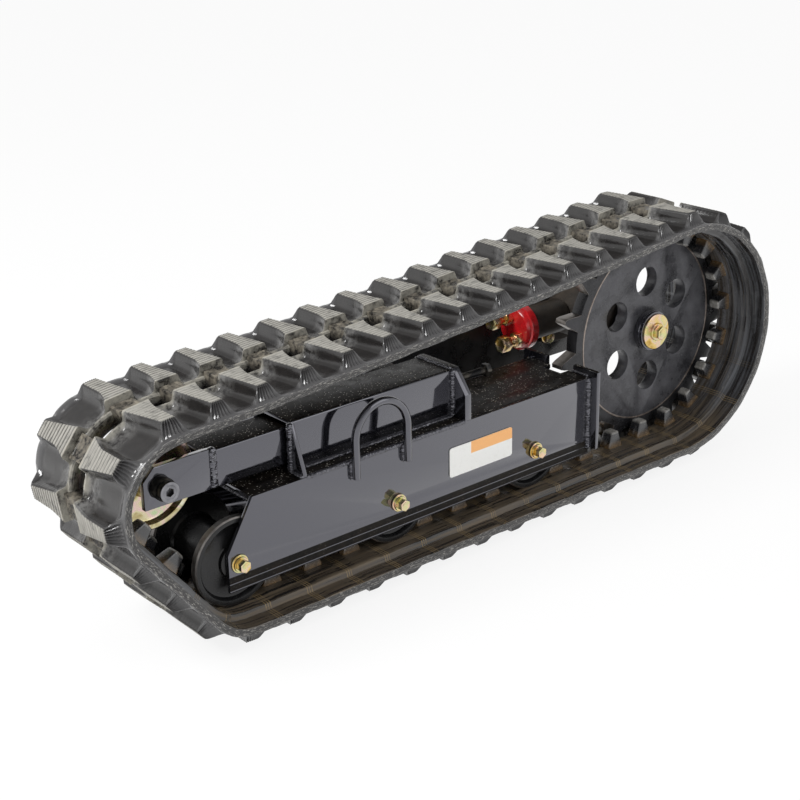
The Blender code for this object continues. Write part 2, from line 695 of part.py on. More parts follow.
def roller_frame(unit):
    """Two drilled side panels, the plate over them and the rear end plates."""
    inner_y = PANEL_OUTER_Y - PANEL_THICKNESS
    for name, side in (("outer_side_panel", -1), ("inner_side_panel", 1)):
        low, high = sorted((side * inner_y, side * PANEL_OUTER_Y))
        panel = add_object(name, prism(panel_outline(), "y", low, high), "gloss_black_paint", unit)
        holes = bmesh.new()
        for index in range(ROLLER_COUNT):
            radius = AXLE_BOLT_RADIUS + FIT_GAP
            ends = [(low - PANEL_THICKNESS, radius), (high + PANEL_THICKNESS, radius)]
            turned(ends, centre=(index * ROLLER_SPACING, ROLLER_Z), bm=holes)
        drill(panel, holes)
    edge = inner_y - FIT_GAP
    front = PANEL_FRONT_X + PANEL_CHAMFER_RUN
    slot = FRAME_REAR_X - SPROCKET_SLOT_DEPTH
    outline = [
        (front, -edge), (FRAME_REAR_X, -edge), (FRAME_REAR_X, -SPROCKET_SLOT_HALF),
        (slot, -SPROCKET_SLOT_HALF), (slot, SPROCKET_SLOT_HALF),
        (FRAME_REAR_X, SPROCKET_SLOT_HALF), (FRAME_REAR_X, edge), (front, edge),
    ]
    top = prism(outline, "z", FRAME_TOP_Z - TOP_PLATE_THICKNESS, FRAME_TOP_Z)
    add_object("frame_top_plate", top, "gloss_black_paint", unit)
    start = FRAME_REAR_X + FIT_GAP
    for name, side in (("outer_end_plate", -1), ("inner_end_plate", 1)):
        low, high = sorted((side * END_PLATE_INNER_Y, side * END_PLATE_OUTER_Y))
        outline = box_outline(low, high, PANEL_BOTTOM_Z + END_PLATE_LOW,
                              FRAME_TOP_Z + END_PLATE_RISE)
        plate = prism(outline, "x", start, start + END_PLATE_THICKNESS)
        add_object(name, plate, "gloss_black_paint", unit)


def main_beam(unit):
    """Square tube on the roller frame, open in front for the idler's fork."""
    half = BEAM_WIDTH / 2
    outer = box_outline(-half, half, BEAM_LOW_Z, BEAM_TOP_Z)
    beam = add_object(
        "main_beam", prism(outer, "x", BEAM_FRONT_X, BEAM_REAR_X), "gloss_black_paint", unit)
    inner = box_outline(-half + BEAM_WALL, half - BEAM_WALL,
                        BEAM_LOW_Z + BEAM_WALL, BEAM_TOP_Z - BEAM_WALL)
    drill(beam, prism(inner, "x", BEAM_FRONT_X - BEAM_WALL, BEAM_REAR_X + BEAM_WALL))


def beam_gussets(unit):
    """Sloping gussets at the beam's front, and the plate that closes its rear end."""
    side_y = BEAM_WIDTH / 2 + FIT_GAP
    for name, side in (("front_gusset_outer", -1), ("front_gusset_inner", 1)):
        outline = [
            (side * side_y, BEAM_LOW_Z), (side * PANEL_OUTER_Y, BEAM_LOW_Z),
            (side * side_y, BEAM_TOP_Z),
        ]
        gusset = prism(outline, "x", BEAM_FRONT_X, BEAM_FRONT_X + FRONT_GUSSET_THICKNESS)
        add_object(name, gusset, "gloss_black_paint", unit)
    top = BEAM_TOP_Z + REAR_GUSSET_RISE
    shoulder = BEAM_LOW_Z + REAR_GUSSET_SHOULDER
    outline = [
        (-PANEL_OUTER_Y, BEAM_LOW_Z), (PANEL_OUTER_Y, BEAM_LOW_Z), (PANEL_OUTER_Y, shoulder),
        (BEAM_WIDTH / 2, top), (-BEAM_WIDTH / 2, top), (-PANEL_OUTER_Y, shoulder),
    ]
    start = BEAM_REAR_X + FIT_GAP
    end = start + REAR_GUSSET_THICKNESS
    gusset = add_object("rear_gusset", prism(outline, "x", start, end), "gloss_black_paint", unit)
    hole = ADJUSTER_RADIUS + ADJUSTER_CLEARANCE
    cutter = turned([(-end - hole, hole), (-start + hole, hole)])
    bmesh.ops.rotate(cutter, verts=cutter.verts, matrix=quarter_turn())
    bmesh.ops.translate(cutter, verts=cutter.verts, vec=(0, 0, BEAM_MID_Z))
    drill(gusset, cutter)
    return end


def quarter_turn():
    """Turn that takes +y to -x."""
    return Matrix.Rotation(math.radians(90), 3, "Z")


def lock_nut(unit, gusset_rear):
    """Nut on the rear gusset that the adjuster screw runs through."""
    hole = ADJUSTER_RADIUS + ADJUSTER_CLEARANCE
    start = gusset_rear + FIT_GAP
    end = start + LOCK_NUT_LENGTH
    rings = [
        (-start, hole), (-start, LOCK_NUT_FLATS, "hex"), (-end, LOCK_NUT_FLATS, "hex"),
        (-end, hole),
    ]
    nut = turned(rings, bored=True)
    bmesh.ops.rotate(nut, verts=nut.verts, matrix=quarter_turn())
    add_object("lock_nut", nut, "black_oxide", unit, (0, 0, BEAM_MID_Z))


def idler_wheel(slide):
    """Dished wheel that the belt's bars run on: rim, thin web and hub."""
    rim = bar_chord(IDLER_WRAP, 2) - FIT_GAP
    hub_y = BEAM_WIDTH / 2 - CHEEK_THICKNESS - IDLER_SIDE_GAP
    side = [
        (hub_y, IDLER_PIN_RADIUS + FIT_GAP), (hub_y, IDLER_HUB_RADIUS),
        (IDLER_WEB_HALF, IDLER_HUB_RADIUS), (IDLER_WEB_HALF, rim - IDLER_RIM_WALL),
        (IDLER_RIM_HALF, rim - IDLER_RIM_WALL), (IDLER_RIM_HALF, rim),
    ]
    rings = side + [(-y, radius) for y, radius in reversed(side)]
    wheel = turned(rings, sides=WHEEL_SIDES, bored=True)
    add_object("idler_wheel", wheel, "yellow_zinc", slide, smooth=True)
    return rim


def idler_fork(slide, idler_x, rim):
    """Fork tube that slides in the beam, and the two cheeks that hold the idler."""
    lift = BEAM_MID_Z - IDLER_Z
    half_y = BEAM_WIDTH / 2 - BEAM_WALL - FORK_CLEARANCE
    half_z = BEAM_HEIGHT / 2 - BEAM_WALL - FORK_CLEARANCE
    front = rim + FORK_FRONT_GAP
    outer = box_outline(-half_y, half_y, lift - half_z, lift + half_z)
    tube = add_object("fork_tube", prism(outer, "x", front, front + FORK_LENGTH),
                      "gloss_black_paint", slide)
    inner = box_outline(-half_y + FORK_WALL, half_y - FORK_WALL,
                        lift - half_z + FORK_WALL, lift + half_z - FORK_WALL)
    drill(tube, prism(inner, "x", front - FORK_WALL, front + FORK_LENGTH - FORK_WALL))
    low = -CHEEK_HEIGHT / 2
    high = CHEEK_HEIGHT / 2
    rear = front + CHEEK_OVERLAP
    outline = [
        (-CHEEK_NOSE, low), (rear, low), (rear, high),
        (-CHEEK_NOSE + CHEEK_CHAMFER, high), (-CHEEK_NOSE, high - CHEEK_CHAMFER),
    ]
    cheek_in = half_y + FIT_GAP
    cheek_out = cheek_in + CHEEK_THICKNESS
    for name, side in (("fork_cheek_outer", -1), ("fork_cheek_inner", 1)):
        y_low, y_high = sorted((side * cheek_in, side * cheek_out))
        cheek = add_object(name, prism(outline, "y", y_low, y_high), "gloss_black_paint", slide)
        hole = IDLER_PIN_RADIUS + FIT_GAP
        drill(cheek, turned([(y_low - hole, hole), (y_high + hole, hole)]))
    return cheek_out, front + FORK_LENGTH, lift


def idler_axle(slide, cheek_out):
    """Pin through the cheeks, with a long collar and socket head outboard and a nut inboard."""
    seat = cheek_out + FIT_GAP
    collar = seat + IDLER_COLLAR_LENGTH
    rings = [
        (-collar - IDLER_HEAD_LENGTH, IDLER_HEAD_RADIUS), (-collar, IDLER_HEAD_RADIUS),
        (-collar, IDLER_COLLAR_RADIUS), (-seat, IDLER_COLLAR_RADIUS),
        (-seat, IDLER_PIN_RADIUS), (seat, IDLER_PIN_RADIUS),
        (seat, IDLER_NUT_FLATS, "hex"), (seat + IDLER_NUT_LENGTH, IDLER_NUT_FLATS, "hex"),
    ]
    add_object("idler_axle", turned(rings), "black_oxide", slide, smooth=True)


def adjuster_screw(slide, idler_x, tube_rear, lift, gusset_rear):
    """Screw that pushes the fork tube forward from the beam's closed end."""
    start = tube_rear + FIT_GAP
    head = gusset_rear - idler_x + ADJUSTER_REACH
    rings = [
        (-start, ADJUSTER_RADIUS), (-head, ADJUSTER_RADIUS),
        (-head, ADJUSTER_HEAD_FLATS, "hex"),
        (-head - ADJUSTER_HEAD_LENGTH, ADJUSTER_HEAD_FLATS, "hex"),
    ]
    screw = turned(rings)
    bmesh.ops.rotate(screw, verts=screw.verts, matrix=quarter_turn())
    bmesh.ops.translate(screw, verts=screw.verts, vec=(0, 0, lift))
    add_object("adjuster_screw", screw, "black_oxide", slide, smooth=True)


def tie_down_loop(unit):
    """Bent rod whose legs lie on the outer panel."""
    rod_y = -(PANEL_OUTER_Y + FIT_GAP + LOOP_ROD_RADIUS)
    bend = LOOP_LEG_SPACING / 2
    bend_z = FRAME_TOP_Z + LOOP_LEG_RISE
    foot_z = FRAME_TOP_Z - LOOP_LEG_DROP
    points = [(LOOP_X - bend, foot_z)]
    turns = 14
    for step in range(turns + 1):
        angle = math.pi * (1 - step / turns)
        points.append((LOOP_X + bend * math.cos(angle), bend_z + bend * math.sin(angle)))
    points.append((LOOP_X + bend, foot_z))
    curve = bpy.data.curves.new("tie_down_loop", "CURVE")
    curve.dimensions = "3D"
    curve.bevel_depth = LOOP_ROD_RADIUS
    curve.bevel_resolution = 2
    curve.use_fill_caps = True
    spline = curve.splines.new("POLY")
    spline.points.add(len(points) - 1)
    for target, (x, z) in zip(spline.points, points):
        target.co = (x, rod_y, z, 1.0)
    curve.materials.append(finish_material("gloss_black_paint"))
    loop = bpy.data.objects.new("tie_down_loop", curve)
    loop.parent = unit
    bpy.context.scene.collection.objects.link(loop)


def sign_plate(unit):
    """Thin blank plate on the outer panel."""
    outline = box_outline(SIGN_X - SIGN_LENGTH / 2, SIGN_X + SIGN_LENGTH / 2,
                          SIGN_Z - SIGN_HEIGHT / 2, SIGN_Z + SIGN_HEIGHT / 2)
    face = -(PANEL_OUTER_Y + FIT_GAP)
    add_object("sign_plate", prism(outline, "y", face - SIGN_THICKNESS, face),
               "white_enamel", unit)


def mounting_plate(unit):
    """Inboard plate that carries the motor and bolts to the chassis, and the beam's arms."""
    reach = MOUNT_REAR_MARGIN
    rear = SPROCKET_X
    outline = [
        (MOUNT_FRONT_X, MOUNT_LOW_Z), (rear - reach - MOUNT_TAPER, MOUNT_LOW_Z),
        (rear - reach * 0.4, SPROCKET_Z - reach), (rear + reach * 0.4, SPROCKET_Z - reach),
        (rear + reach, SPROCKET_Z - reach * 0.4), (rear + reach, SPROCKET_Z + reach * 0.4),
        (rear + reach * 0.4, SPROCKET_Z + reach), (rear - reach * 0.4, SPROCKET_Z + reach),
        (rear - reach - MOUNT_TAPER, MOUNT_TOP_Z), (MOUNT_FRONT_X, MOUNT_TOP_Z),
    ]
    plate = add_object(
        "mounting_plate", prism(outline, "y", MOUNT_OUTER_Y, MOUNT_OUTER_Y + MOUNT_THICKNESS),
        "gloss_black_paint", unit)
    hole = MOTOR_RADIUS + FIT_GAP
    ends = [(MOUNT_OUTER_Y - hole, hole), (MOUNT_OUTER_Y + hole, hole)]
    drill(plate, turned(ends, centre=(SPROCKET_X, SPROCKET_Z)))
    low = BEAM_MID_Z - ARM_HEIGHT / 2
    for name, start in (("front_arm", BEAM_FRONT_X + ARM_INSET),
                        ("rear_arm", BEAM_REAR_X - ARM_INSET - ARM_WIDTH)):
        outline = box_outline(start, start + ARM_WIDTH, low, low + ARM_HEIGHT)
        arm = prism(outline, "y", BEAM_WIDTH / 2 + FIT_GAP, MOUNT_OUTER_Y - FIT_GAP)
        add_object(name, arm, "gloss_black_paint", unit)


def centre_unit(unit):
    """Move the root empty so that the origin is under the middle of the unit's box."""
    bpy.context.view_layer.update()
    corners = []
    for piece in bpy.data.objects:
        if piece.type in {"MESH", "CURVE"} and not piece.hide_render:
            corners += [piece.matrix_world @ Vector(corner) for corner in piece.bound_box]
    for axis in (0, 1):
        values = [corner[axis] for corner in corners]
        unit.location[axis] -= (min(values) + max(values)) / 2
    unit.location.z -= min(corner.z for corner in corners)


def build():
    """Model the whole unit."""
    for item in list(bpy.data.objects):
        bpy.data.objects.remove(item, do_unlink=True)
    unit = bpy.data.objects.new("unit", None)
    bpy.context.scene.collection.objects.link(unit)
    path, links, idler_x = closed_belt_path()
    slide = bpy.data.objects.new("idler_slide", None)
    slide.parent = unit
    slide.location = (idler_x, 0, IDLER_Z)
    bpy.context.scene.collection.objects.link(slide)

    rubber_track(unit, path, links)
    drive_sprocket(unit, path)
    drive_motor(unit, *sprocket_hub(unit))
    port_block(unit)
    road_rollers(unit)
    roller_axles(unit)
    roller_frame(unit)
    main_beam(unit)
    gusset_rear = beam_gussets(unit)
    lock_nut(unit, gusset_rear)
    rim = idler_wheel(slide)
    cheek_out, tube_rear, lift = idler_fork(slide, idler_x, rim)
    idler_axle(slide, cheek_out)
    adjuster_screw(slide, idler_x, tube_rear, lift, gusset_rear)
    tie_down_loop(unit)
    sign_plate(unit)
    mounting_plate(unit)
    centre_unit(unit)


build()
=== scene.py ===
"""Looks of the left-hand rubber track unit of a mini skid steer loader.

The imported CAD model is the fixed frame. Lengths are in metres, X runs to the machine's rear,
Y runs inboard and Z is up.
"""

import logging
import math
from collections.abc import Callable, Sequence
from dataclasses import dataclass
from enum import Enum
from functools import partial

import bmesh
import bpy
import numpy as np
from mathutils import Matrix, Vector


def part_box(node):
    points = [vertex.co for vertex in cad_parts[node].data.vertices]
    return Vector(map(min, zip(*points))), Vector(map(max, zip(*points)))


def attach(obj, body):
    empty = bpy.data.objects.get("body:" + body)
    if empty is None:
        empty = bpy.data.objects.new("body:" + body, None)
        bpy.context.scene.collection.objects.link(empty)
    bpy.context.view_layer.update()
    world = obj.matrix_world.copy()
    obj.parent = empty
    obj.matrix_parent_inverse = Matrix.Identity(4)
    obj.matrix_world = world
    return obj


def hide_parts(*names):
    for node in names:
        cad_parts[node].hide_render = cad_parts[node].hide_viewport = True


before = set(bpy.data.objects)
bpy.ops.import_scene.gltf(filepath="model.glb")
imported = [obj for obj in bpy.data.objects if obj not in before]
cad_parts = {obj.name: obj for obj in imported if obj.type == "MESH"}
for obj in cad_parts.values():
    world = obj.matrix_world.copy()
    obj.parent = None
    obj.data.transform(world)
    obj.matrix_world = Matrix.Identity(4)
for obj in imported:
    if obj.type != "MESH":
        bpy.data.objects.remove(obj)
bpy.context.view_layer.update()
log = logging.getLogger("track_unit")

TRACK_FRAME = "track_frame"
IDLER_SLIDE = "idler_slide"
TAU = 2 * math.pi
DOWN = (0, 0, -1)
UP = (0, 0, 1)
NEAR_SIDE = (0, -1, 0)

Point = Sequence[float]
Outline = list[tuple[float, float]]
AddNode = Callable[..., bpy.types.NodeSocket]
Sockets = dict[str, object]


class Pick(Enum):
    """What is picked in edit mode."""

    POINTS = "VERT"
    EDGES = "EDGE"
    FACES = "FACE"


class Axis(Enum):
    """Direction that a round piece is turned about."""

    ACROSS = (0, 1, 0)
    ALONG = (1, 0, 0)


def centre_of(node: str) -> Vector:
    """Middle of a CAD node's box."""
    low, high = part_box(node)
    return (low + high) / 2


def mirrored(side: Outline) -> Outline:
    """Close an outline by its mirror image, for a wheel that is alike on both sides."""
    return side + [(-along, radius) for along, radius in reversed(side)] + side[:1]


# Modelling


class Workpiece:
    """A mesh on the bench, shaped in edit mode."""

    def __init__(self, name: str) -> None:
        """Take over the active object and apply its place.

        Args:
            name: The piece's name.
        """
        self.body = bpy.context.active_object
        self.body.name = name
        self.body.data.name = name
        bpy.ops.object.transform_apply(location=True, rotation=True, scale=True)

    @staticmethod
    def clear_bench() -> None:
        """Leave edit mode and deselect everything."""
        active = bpy.context.view_layer.objects.active
        if active and active.mode == "EDIT":
            bpy.ops.object.mode_set(mode="OBJECT")
        bpy.ops.object.select_all(action="DESELECT")

    @classmethod
    def block(cls, name: str, low: Point, high: Point) -> "Workpiece":
        """Start from a cube between two corners.

        Args:
            name: The piece's name.
            low: Lowest corner.
            high: Highest corner.

        Returns:
            The piece.
        """
        cls.clear_bench()
        low, high = Vector(low), Vector(high)
        bpy.ops.mesh.primitive_cube_add(size=1, location=(low + high) / 2, scale=high - low)
        return cls(name)

    @classmethod
    def rod(cls, name: str, centre: Point, axis: Axis, radius: float, length: float,
            sides: int = 48) -> "Workpiece":
        """Start from a cylinder.

        Args:
            name: The piece's name.
            centre: Middle of the rod.
            axis: Direction of its length.
            radius: Its radius, or a hexagon's corner radius.
            length: Its length.
            sides: Number of sides.

        Returns:
            The piece.
        """
        cls.clear_bench()
        turn = (math.pi / 2, 0, 0) if axis is Axis.ACROSS else (0, math.pi / 2, 0)
        bpy.ops.mesh.primitive_cylinder_add(
            vertices=sides, radius=radius, depth=length, location=centre, rotation=turn)
        return cls(name)

    @classmethod
    def turned(cls, name: str, centre: Point, axis: Axis, outline: Outline,
               steps: int = 72) -> "Workpiece":
        """Draw an outline by extruding one point along it, then spin it.

        Args:
            name: The piece's name.
            centre: Point on the axis that the outline is measured from.
            axis: Axis of the spin.
            outline: Points as distance along the axis and radius.
            steps: Steps of the whole turn.

        Returns:
            The piece, closed and with outward faces.
        """
        cls.clear_bench()
        centre, along = Vector(centre), Vector(axis.value)
        points = [centre + along * a + Vector(UP) * r for a, r in outline]
        bpy.ops.mesh.primitive_plane_add(size=0.001, location=points[0])
        piece = cls(name)
        piece.edit()
        bpy.ops.mesh.select_mode(type="VERT")
        piece.grab()
        bpy.ops.mesh.merge(type="CENTER")
        for before, after in zip(points, points[1:]):
            piece.push(after - before)
        piece.grab()
        bpy.ops.mesh.spin(steps=steps, angle=TAU, center=centre, axis=along)
        piece.tidy()
        return piece

    @classmethod
    def copy_of(cls, name: str, node: str, width: float, segments: int = 2,
                sharper_than: float = 30) -> "Workpiece":
        """Start from a merged copy of a CAD node with its edges rounded, and replace the node.

        Args:
            name: The piece's name.
            node: The CAD node.
            width: Width of the bevels.
            segments: Their segments.
            sharper_than: Least angle of an edge that is bevelled, in degrees.

        Returns:
            The piece.
        """
        cls.clear_bench()
        twin = bpy.data.objects.new(name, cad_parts[node].data.copy())
        bpy.context.scene.collection.objects.link(twin)
        twin.data.materials.clear()
        twin.select_set(True)
        bpy.context.view_layer.objects.active = twin
        piece = cls(name)
        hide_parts(node)
        piece.grab()
        bpy.ops.mesh.remove_doubles(threshold=1e-6)
        bpy.ops.mesh.customdata_custom_splitnormals_clear()
        bpy.ops.mesh.dissolve_limited(angle_limit=math.radians(0.5))
        piece.soften(width, segments, sharper_than)
        return piece

    def activate(self) -> None:
        """Select the piece alone, in object mode."""
        self.clear_bench()
        self.body.select_set(True)
        bpy.context.view_layer.objects.active = self.body

    def edit(self) -> None:
        """Open the mesh in edit mode, if it isn't open yet."""
        if self.body.mode != "EDIT":
            self.activate()
            bpy.ops.object.mode_set(mode="EDIT")

    def grab(self) -> None:
        """Select the whole mesh in edit mode."""
        self.edit()
        bpy.ops.mesh.select_all(action="SELECT")

    def pick(self, what: Pick, test: Callable[[object], bool]) -> int:
        """Select the points, edges or faces that pass a test, and nothing else.

        Args:
            what: Kind of element.
            test: Takes a bmesh element and says whether it is picked.

        Returns:
            How many were picked.
        """
        self.edit()
        bpy.ops.mesh.select_mode(type=what.value)
        bpy.ops.mesh.select_all(action="DESELECT")
        mesh = bmesh.from_edit_mesh(self.body.data)
        found = {Pick.POINTS: mesh.verts, Pick.EDGES: mesh.edges, Pick.FACES: mesh.faces}[what]
        picked = [item for item in found if test(item)]
        for item in picked:
            item.select_set(True)
        mesh.select_flush_mode()
        bmesh.update_edit_mesh(self.body.data)
        return len(picked)

    def pick_facing(self, direction: Point, least: float = 0.95) -> int:
        """Select the faces whose normal has at least this cosine to a direction."""
        direction = Vector(direction)
        return self.pick(Pick.FACES, lambda face: face.normal.dot(direction) > least)

    def push(self, shift: Point) -> None:
        """Extrude what is selected."""
        bpy.ops.mesh.extrude_region_move(TRANSFORM_OT_translate={"value": shift})

    def scale(self, share: Point, about: Point) -> None:
        """Scale what is selected along each axis, about a point that stays."""
        bpy.ops.transform.resize(value=share, center_override=about)

    def inset(self, width: float, depth: float = 0.0) -> None:
        """Inset the selected faces by a border, and raise them by a depth."""
        bpy.ops.mesh.inset(thickness=width, depth=depth)

    def cut(self, point: Point, normal: Point) -> None:
        """Cut the whole mesh by a plane and keep both sides."""
        self.grab()
        bpy.ops.mesh.bisect(plane_co=point, plane_no=normal)

    def soften(self, width: float, segments: int = 2, sharper_than: float = 30) -> None:
        """Bevel the sharp edges.

        Args:
            width: Width of the bevel.
            segments: Its segments.
            sharper_than: Least angle of an edge that is bevelled, in degrees.
        """
        self.edit()
        bpy.ops.mesh.select_mode(type="EDGE")
        bpy.ops.mesh.select_all(action="DESELECT")
        bpy.ops.mesh.edges_select_sharp(sharpness=math.radians(sharper_than))
        bpy.ops.mesh.bevel(offset=width, segments=segments, clamp_overlap=True)

    def tidy(self) -> None:
        """Merge doubled points and turn the faces outwards."""
        self.grab()
        bpy.ops.mesh.remove_doubles(threshold=2e-6)
        bpy.ops.mesh.normals_make_consistent(inside=False)

    def modify(self, kind: str, **settings: object) -> None:
        """Add a modifier and apply it.

        Args:
            kind: Its type.
            settings: Its properties.
        """
        self.activate()
        modifier = self.body.modifiers.new("shaping", kind)
        for key, value in settings.items():
            setattr(modifier, key, value)
        bpy.ops.object.modifier_apply(modifier=modifier.name)

    def repeat(self, step: Point, count: int) -> None:
        """Repeat the piece in a row, a step apart."""
        self.modify("ARRAY", use_relative_offset=False, use_constant_offset=True,
                    constant_offset_displace=step, count=count)

    def add(self, *others: "Workpiece") -> None:
        """Join other pieces into this one.

        Args:
            others: The pieces that are joined.
        """
        self.activate()
        for other in others:
            other.body.select_set(True)
        bpy.ops.object.join()

    def copy(self, name: str, shift: Point = (0, 0, 0)) -> "Workpiece":
        """Copy the piece with its own mesh.

        Args:
            name: The copy's name.
            shift: How far the copy is moved.

        Returns:
            The copy, open and selected.
        """
        self.activate()
        bpy.ops.object.duplicate(linked=False)
        twin = Workpiece(name)
        twin.grab()
        bpy.ops.transform.translate(value=shift)
        return twin

    def scatter(self, shifts: Sequence[Point]) -> None:
        """Copy the piece to other places, and join the copies to it."""
        self.add(*[self.copy("copy", shift) for shift in shifts])

    def paint_picked(self, finish: "Finish") -> None:
        """Give the selected faces their own finish.

        Args:
            finish: The finish.
        """
        materials = self.body.data.materials
        if not materials:
            materials.append(None)
        materials.append(finish.material())
        self.body.active_material_index = len(materials) - 1
        bpy.ops.object.material_slot_assign()

    def dust_and_shade_top(self) -> None:
        """Give the faces that look up the dusted coat, which also paints shade on them."""
        if self.pick_facing(UP, 0.9):
            self.paint_picked(DUSTED_SHADED_COAT)

    def finish(self, finish: "Finish", body: str = TRACK_FRAME, smooth: float = 32,
               replaces: Sequence[str] = ()) -> None:
        """Shade the piece, give it its finish and hang it on its body.

        Args:
            finish: The finish.
            body: CAD body that it rides on.
            smooth: Edges sharper than this many degrees stay sharp.
            replaces: CAD nodes that it stands for.
        """
        self.activate()
        bpy.ops.object.shade_smooth_by_angle(angle=math.radians(smooth))
        materials = self.body.data.materials
        if not materials:
            materials.append(None)
        if materials[0] is None:
            materials[0] = finish.material()
        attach(self.body, body)
        if replaces:
            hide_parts(*replaces)
        log.info("%s: %d faces", self.body.name, len(self.body.data.polygons))


def hex_bolt(name: str, centre: Point, axis: Axis, toward: int, flats: float, head: float,
             collar: float = 0.0, collar_height: float = 0.0) -> Workpiece:
    """Hexagon head with a chamfered crown and a shallow dish, on a round collar.

    Args:
        name: The piece's name.
        centre: Middle of the seat that the bolt sits on.
        axis: The bolt's axis.
        toward: 1 or -1, the way that the head points along the axis.
        flats: Width across flats.
        head: Height of the head.
        collar: Radius of the collar, or 0 for none.
        collar_height: Height of the collar.

    Returns:
        The piece.
    """
    way = Vector(axis.value) * toward
    middle = Vector(centre) + way * (collar_height + head / 2)
    bolt = Workpiece.rod(name, middle, axis, flats / math.sqrt(3), head, 6)
    bolt.pick_facing(way)
    bolt.inset(flats * 0.035)
    bolt.inset(flats * 0.06, head * 0.05)
    bolt.inset(flats * 0.10, -head * 0.08)
    bolt.soften(flats * 0.03, 2, 40)
    if collar:
        outline = [(0.0, 0.0), (0.0, collar), (collar_height * 0.4, collar),
                   (collar_height, collar * 0.93), (collar_height, 0.0)]
        bolt.add(Workpiece.turned(name + "_collar", centre, axis,
                                  [(a * toward, r) for a, r in outline], 40))
    return bolt


def weld_bead(name: str, start: Point, end: Point, radius: float, seed: int) -> Workpiece:
    """Row of overlapping ripples along a seam.

    Args:
        name: The piece's name.
        start: Where the seam starts.
        end: Where it ends.
        radius: Radius of the bead.
        seed: Seed of its unevenness.

    Returns:
        The piece.
    """
    Workpiece.clear_bench()
    start, run = Vector(start), Vector(end) - Vector(start)
    pitch = radius * 0.55
    count = max(2, round(run.length / pitch))
    bpy.ops.mesh.primitive_uv_sphere_add(segments=12, ring_count=8, radius=radius,
                                         location=start)
    bead = Workpiece(name)
    bead.grab()
    bead.scale([1 - 0.32 * abs(value) for value in run.normalized()], start)
    bead.repeat(run / (count - 1), count)
    bead.grab()
    bpy.ops.transform.vertex_random(offset=radius * 0.10, uniform=0.2, normal=0.6, seed=seed)
    return bead


def weld_up(seams: Sequence[tuple[str, Point, Point, float, int]],
            body: str = TRACK_FRAME) -> None:
    """Lay a bead along each seam and join the beads into one piece.

    Args:
        seams: Name, start, end, radius and seed of each.
        body: CAD body that the piece rides on.
    """
    beads = [weld_bead(*seam) for seam in seams]
    beads[0].add(*beads[1:])
    beads[0].finish(WELD_COAT, body)


# Finishes


def linear(hex_color: str) -> tuple[float, ...]:
    """Turn an sRGB hex colour to linear values.

    Args:
        hex_color: Such as #77767b.

    Returns:
        Red, green, blue and alpha.
    """
    parts = [int(hex_color[i:i + 2], 16) / 255 for i in (1, 3, 5)]
    return (*(p / 12.92 if p <= 0.04045 else ((p + 0.055) / 1.055) ** 2.4 for p in parts), 1.0)


def fill(tree: bpy.types.NodeTree, node: bpy.types.Node, inputs: dict[str | int, object]) -> None:
    """Link a node's inputs, or set them to plain values.

    Args:
        tree: Node tree that holds the node.
        node: The node.
        inputs: Input name or number to a socket, a plain value or a hex colour.
    """
    for key, value in inputs.items():
        if isinstance(value, bpy.types.NodeSocket):
            tree.links.new(value, node.inputs[key])
        else:
            node.inputs[key].default_value = linear(value) if isinstance(value, str) else value


def lay(tree: bpy.types.NodeTree, kind: str, *values: object, out: int | str = 0,
        **settings: object) -> bpy.types.NodeSocket | None:
    """Add a node with its settings and links.

    Args:
        tree: Node tree that gets the node.
        kind: Node type without its ShaderNode prefix.
        values: Its first inputs, in their order.
        out: Number or name of the output that is handed on.
        settings: Other inputs by name, with a capital and underscores for spaces, and the
            node's own properties.

    Returns:
        The output's socket, or None where the node has no output.
    """
    node = tree.nodes.new("ShaderNode" + kind)
    inputs = dict(enumerate(values))
    for key, value in settings.items():
        if key[0].isupper():
            inputs[key.replace("_", " ")] = value
        else:
            setattr(node, key, value)
    fill(tree, node, inputs)
    return node.outputs[out] if node.outputs else None


@dataclass(frozen=True)
class Finish:
    """A finish, and the record's material slot that it belongs to."""

    name: str
    slot: str = ""

    def material(self) -> bpy.types.Material:
        """Make the finish's material once.

        Returns:
            The material.
        """
        made = bpy.data.materials.get(self.name)
        if made is None:
            made = bpy.data.materials.new(self.name)
            made.use_nodes = True
            tree = made.node_tree
            fill(tree, tree.nodes["Principled BSDF"], self.dress(partial(lay, tree)))
        return made

    def dress(self, add: AddNode) -> Sockets:
        """Build the finish's nodes.

        Args:
            add: Adds a node to the material and gives its output.

        Returns:
            What goes into the shader's sockets.
        """
        raise NotImplementedError


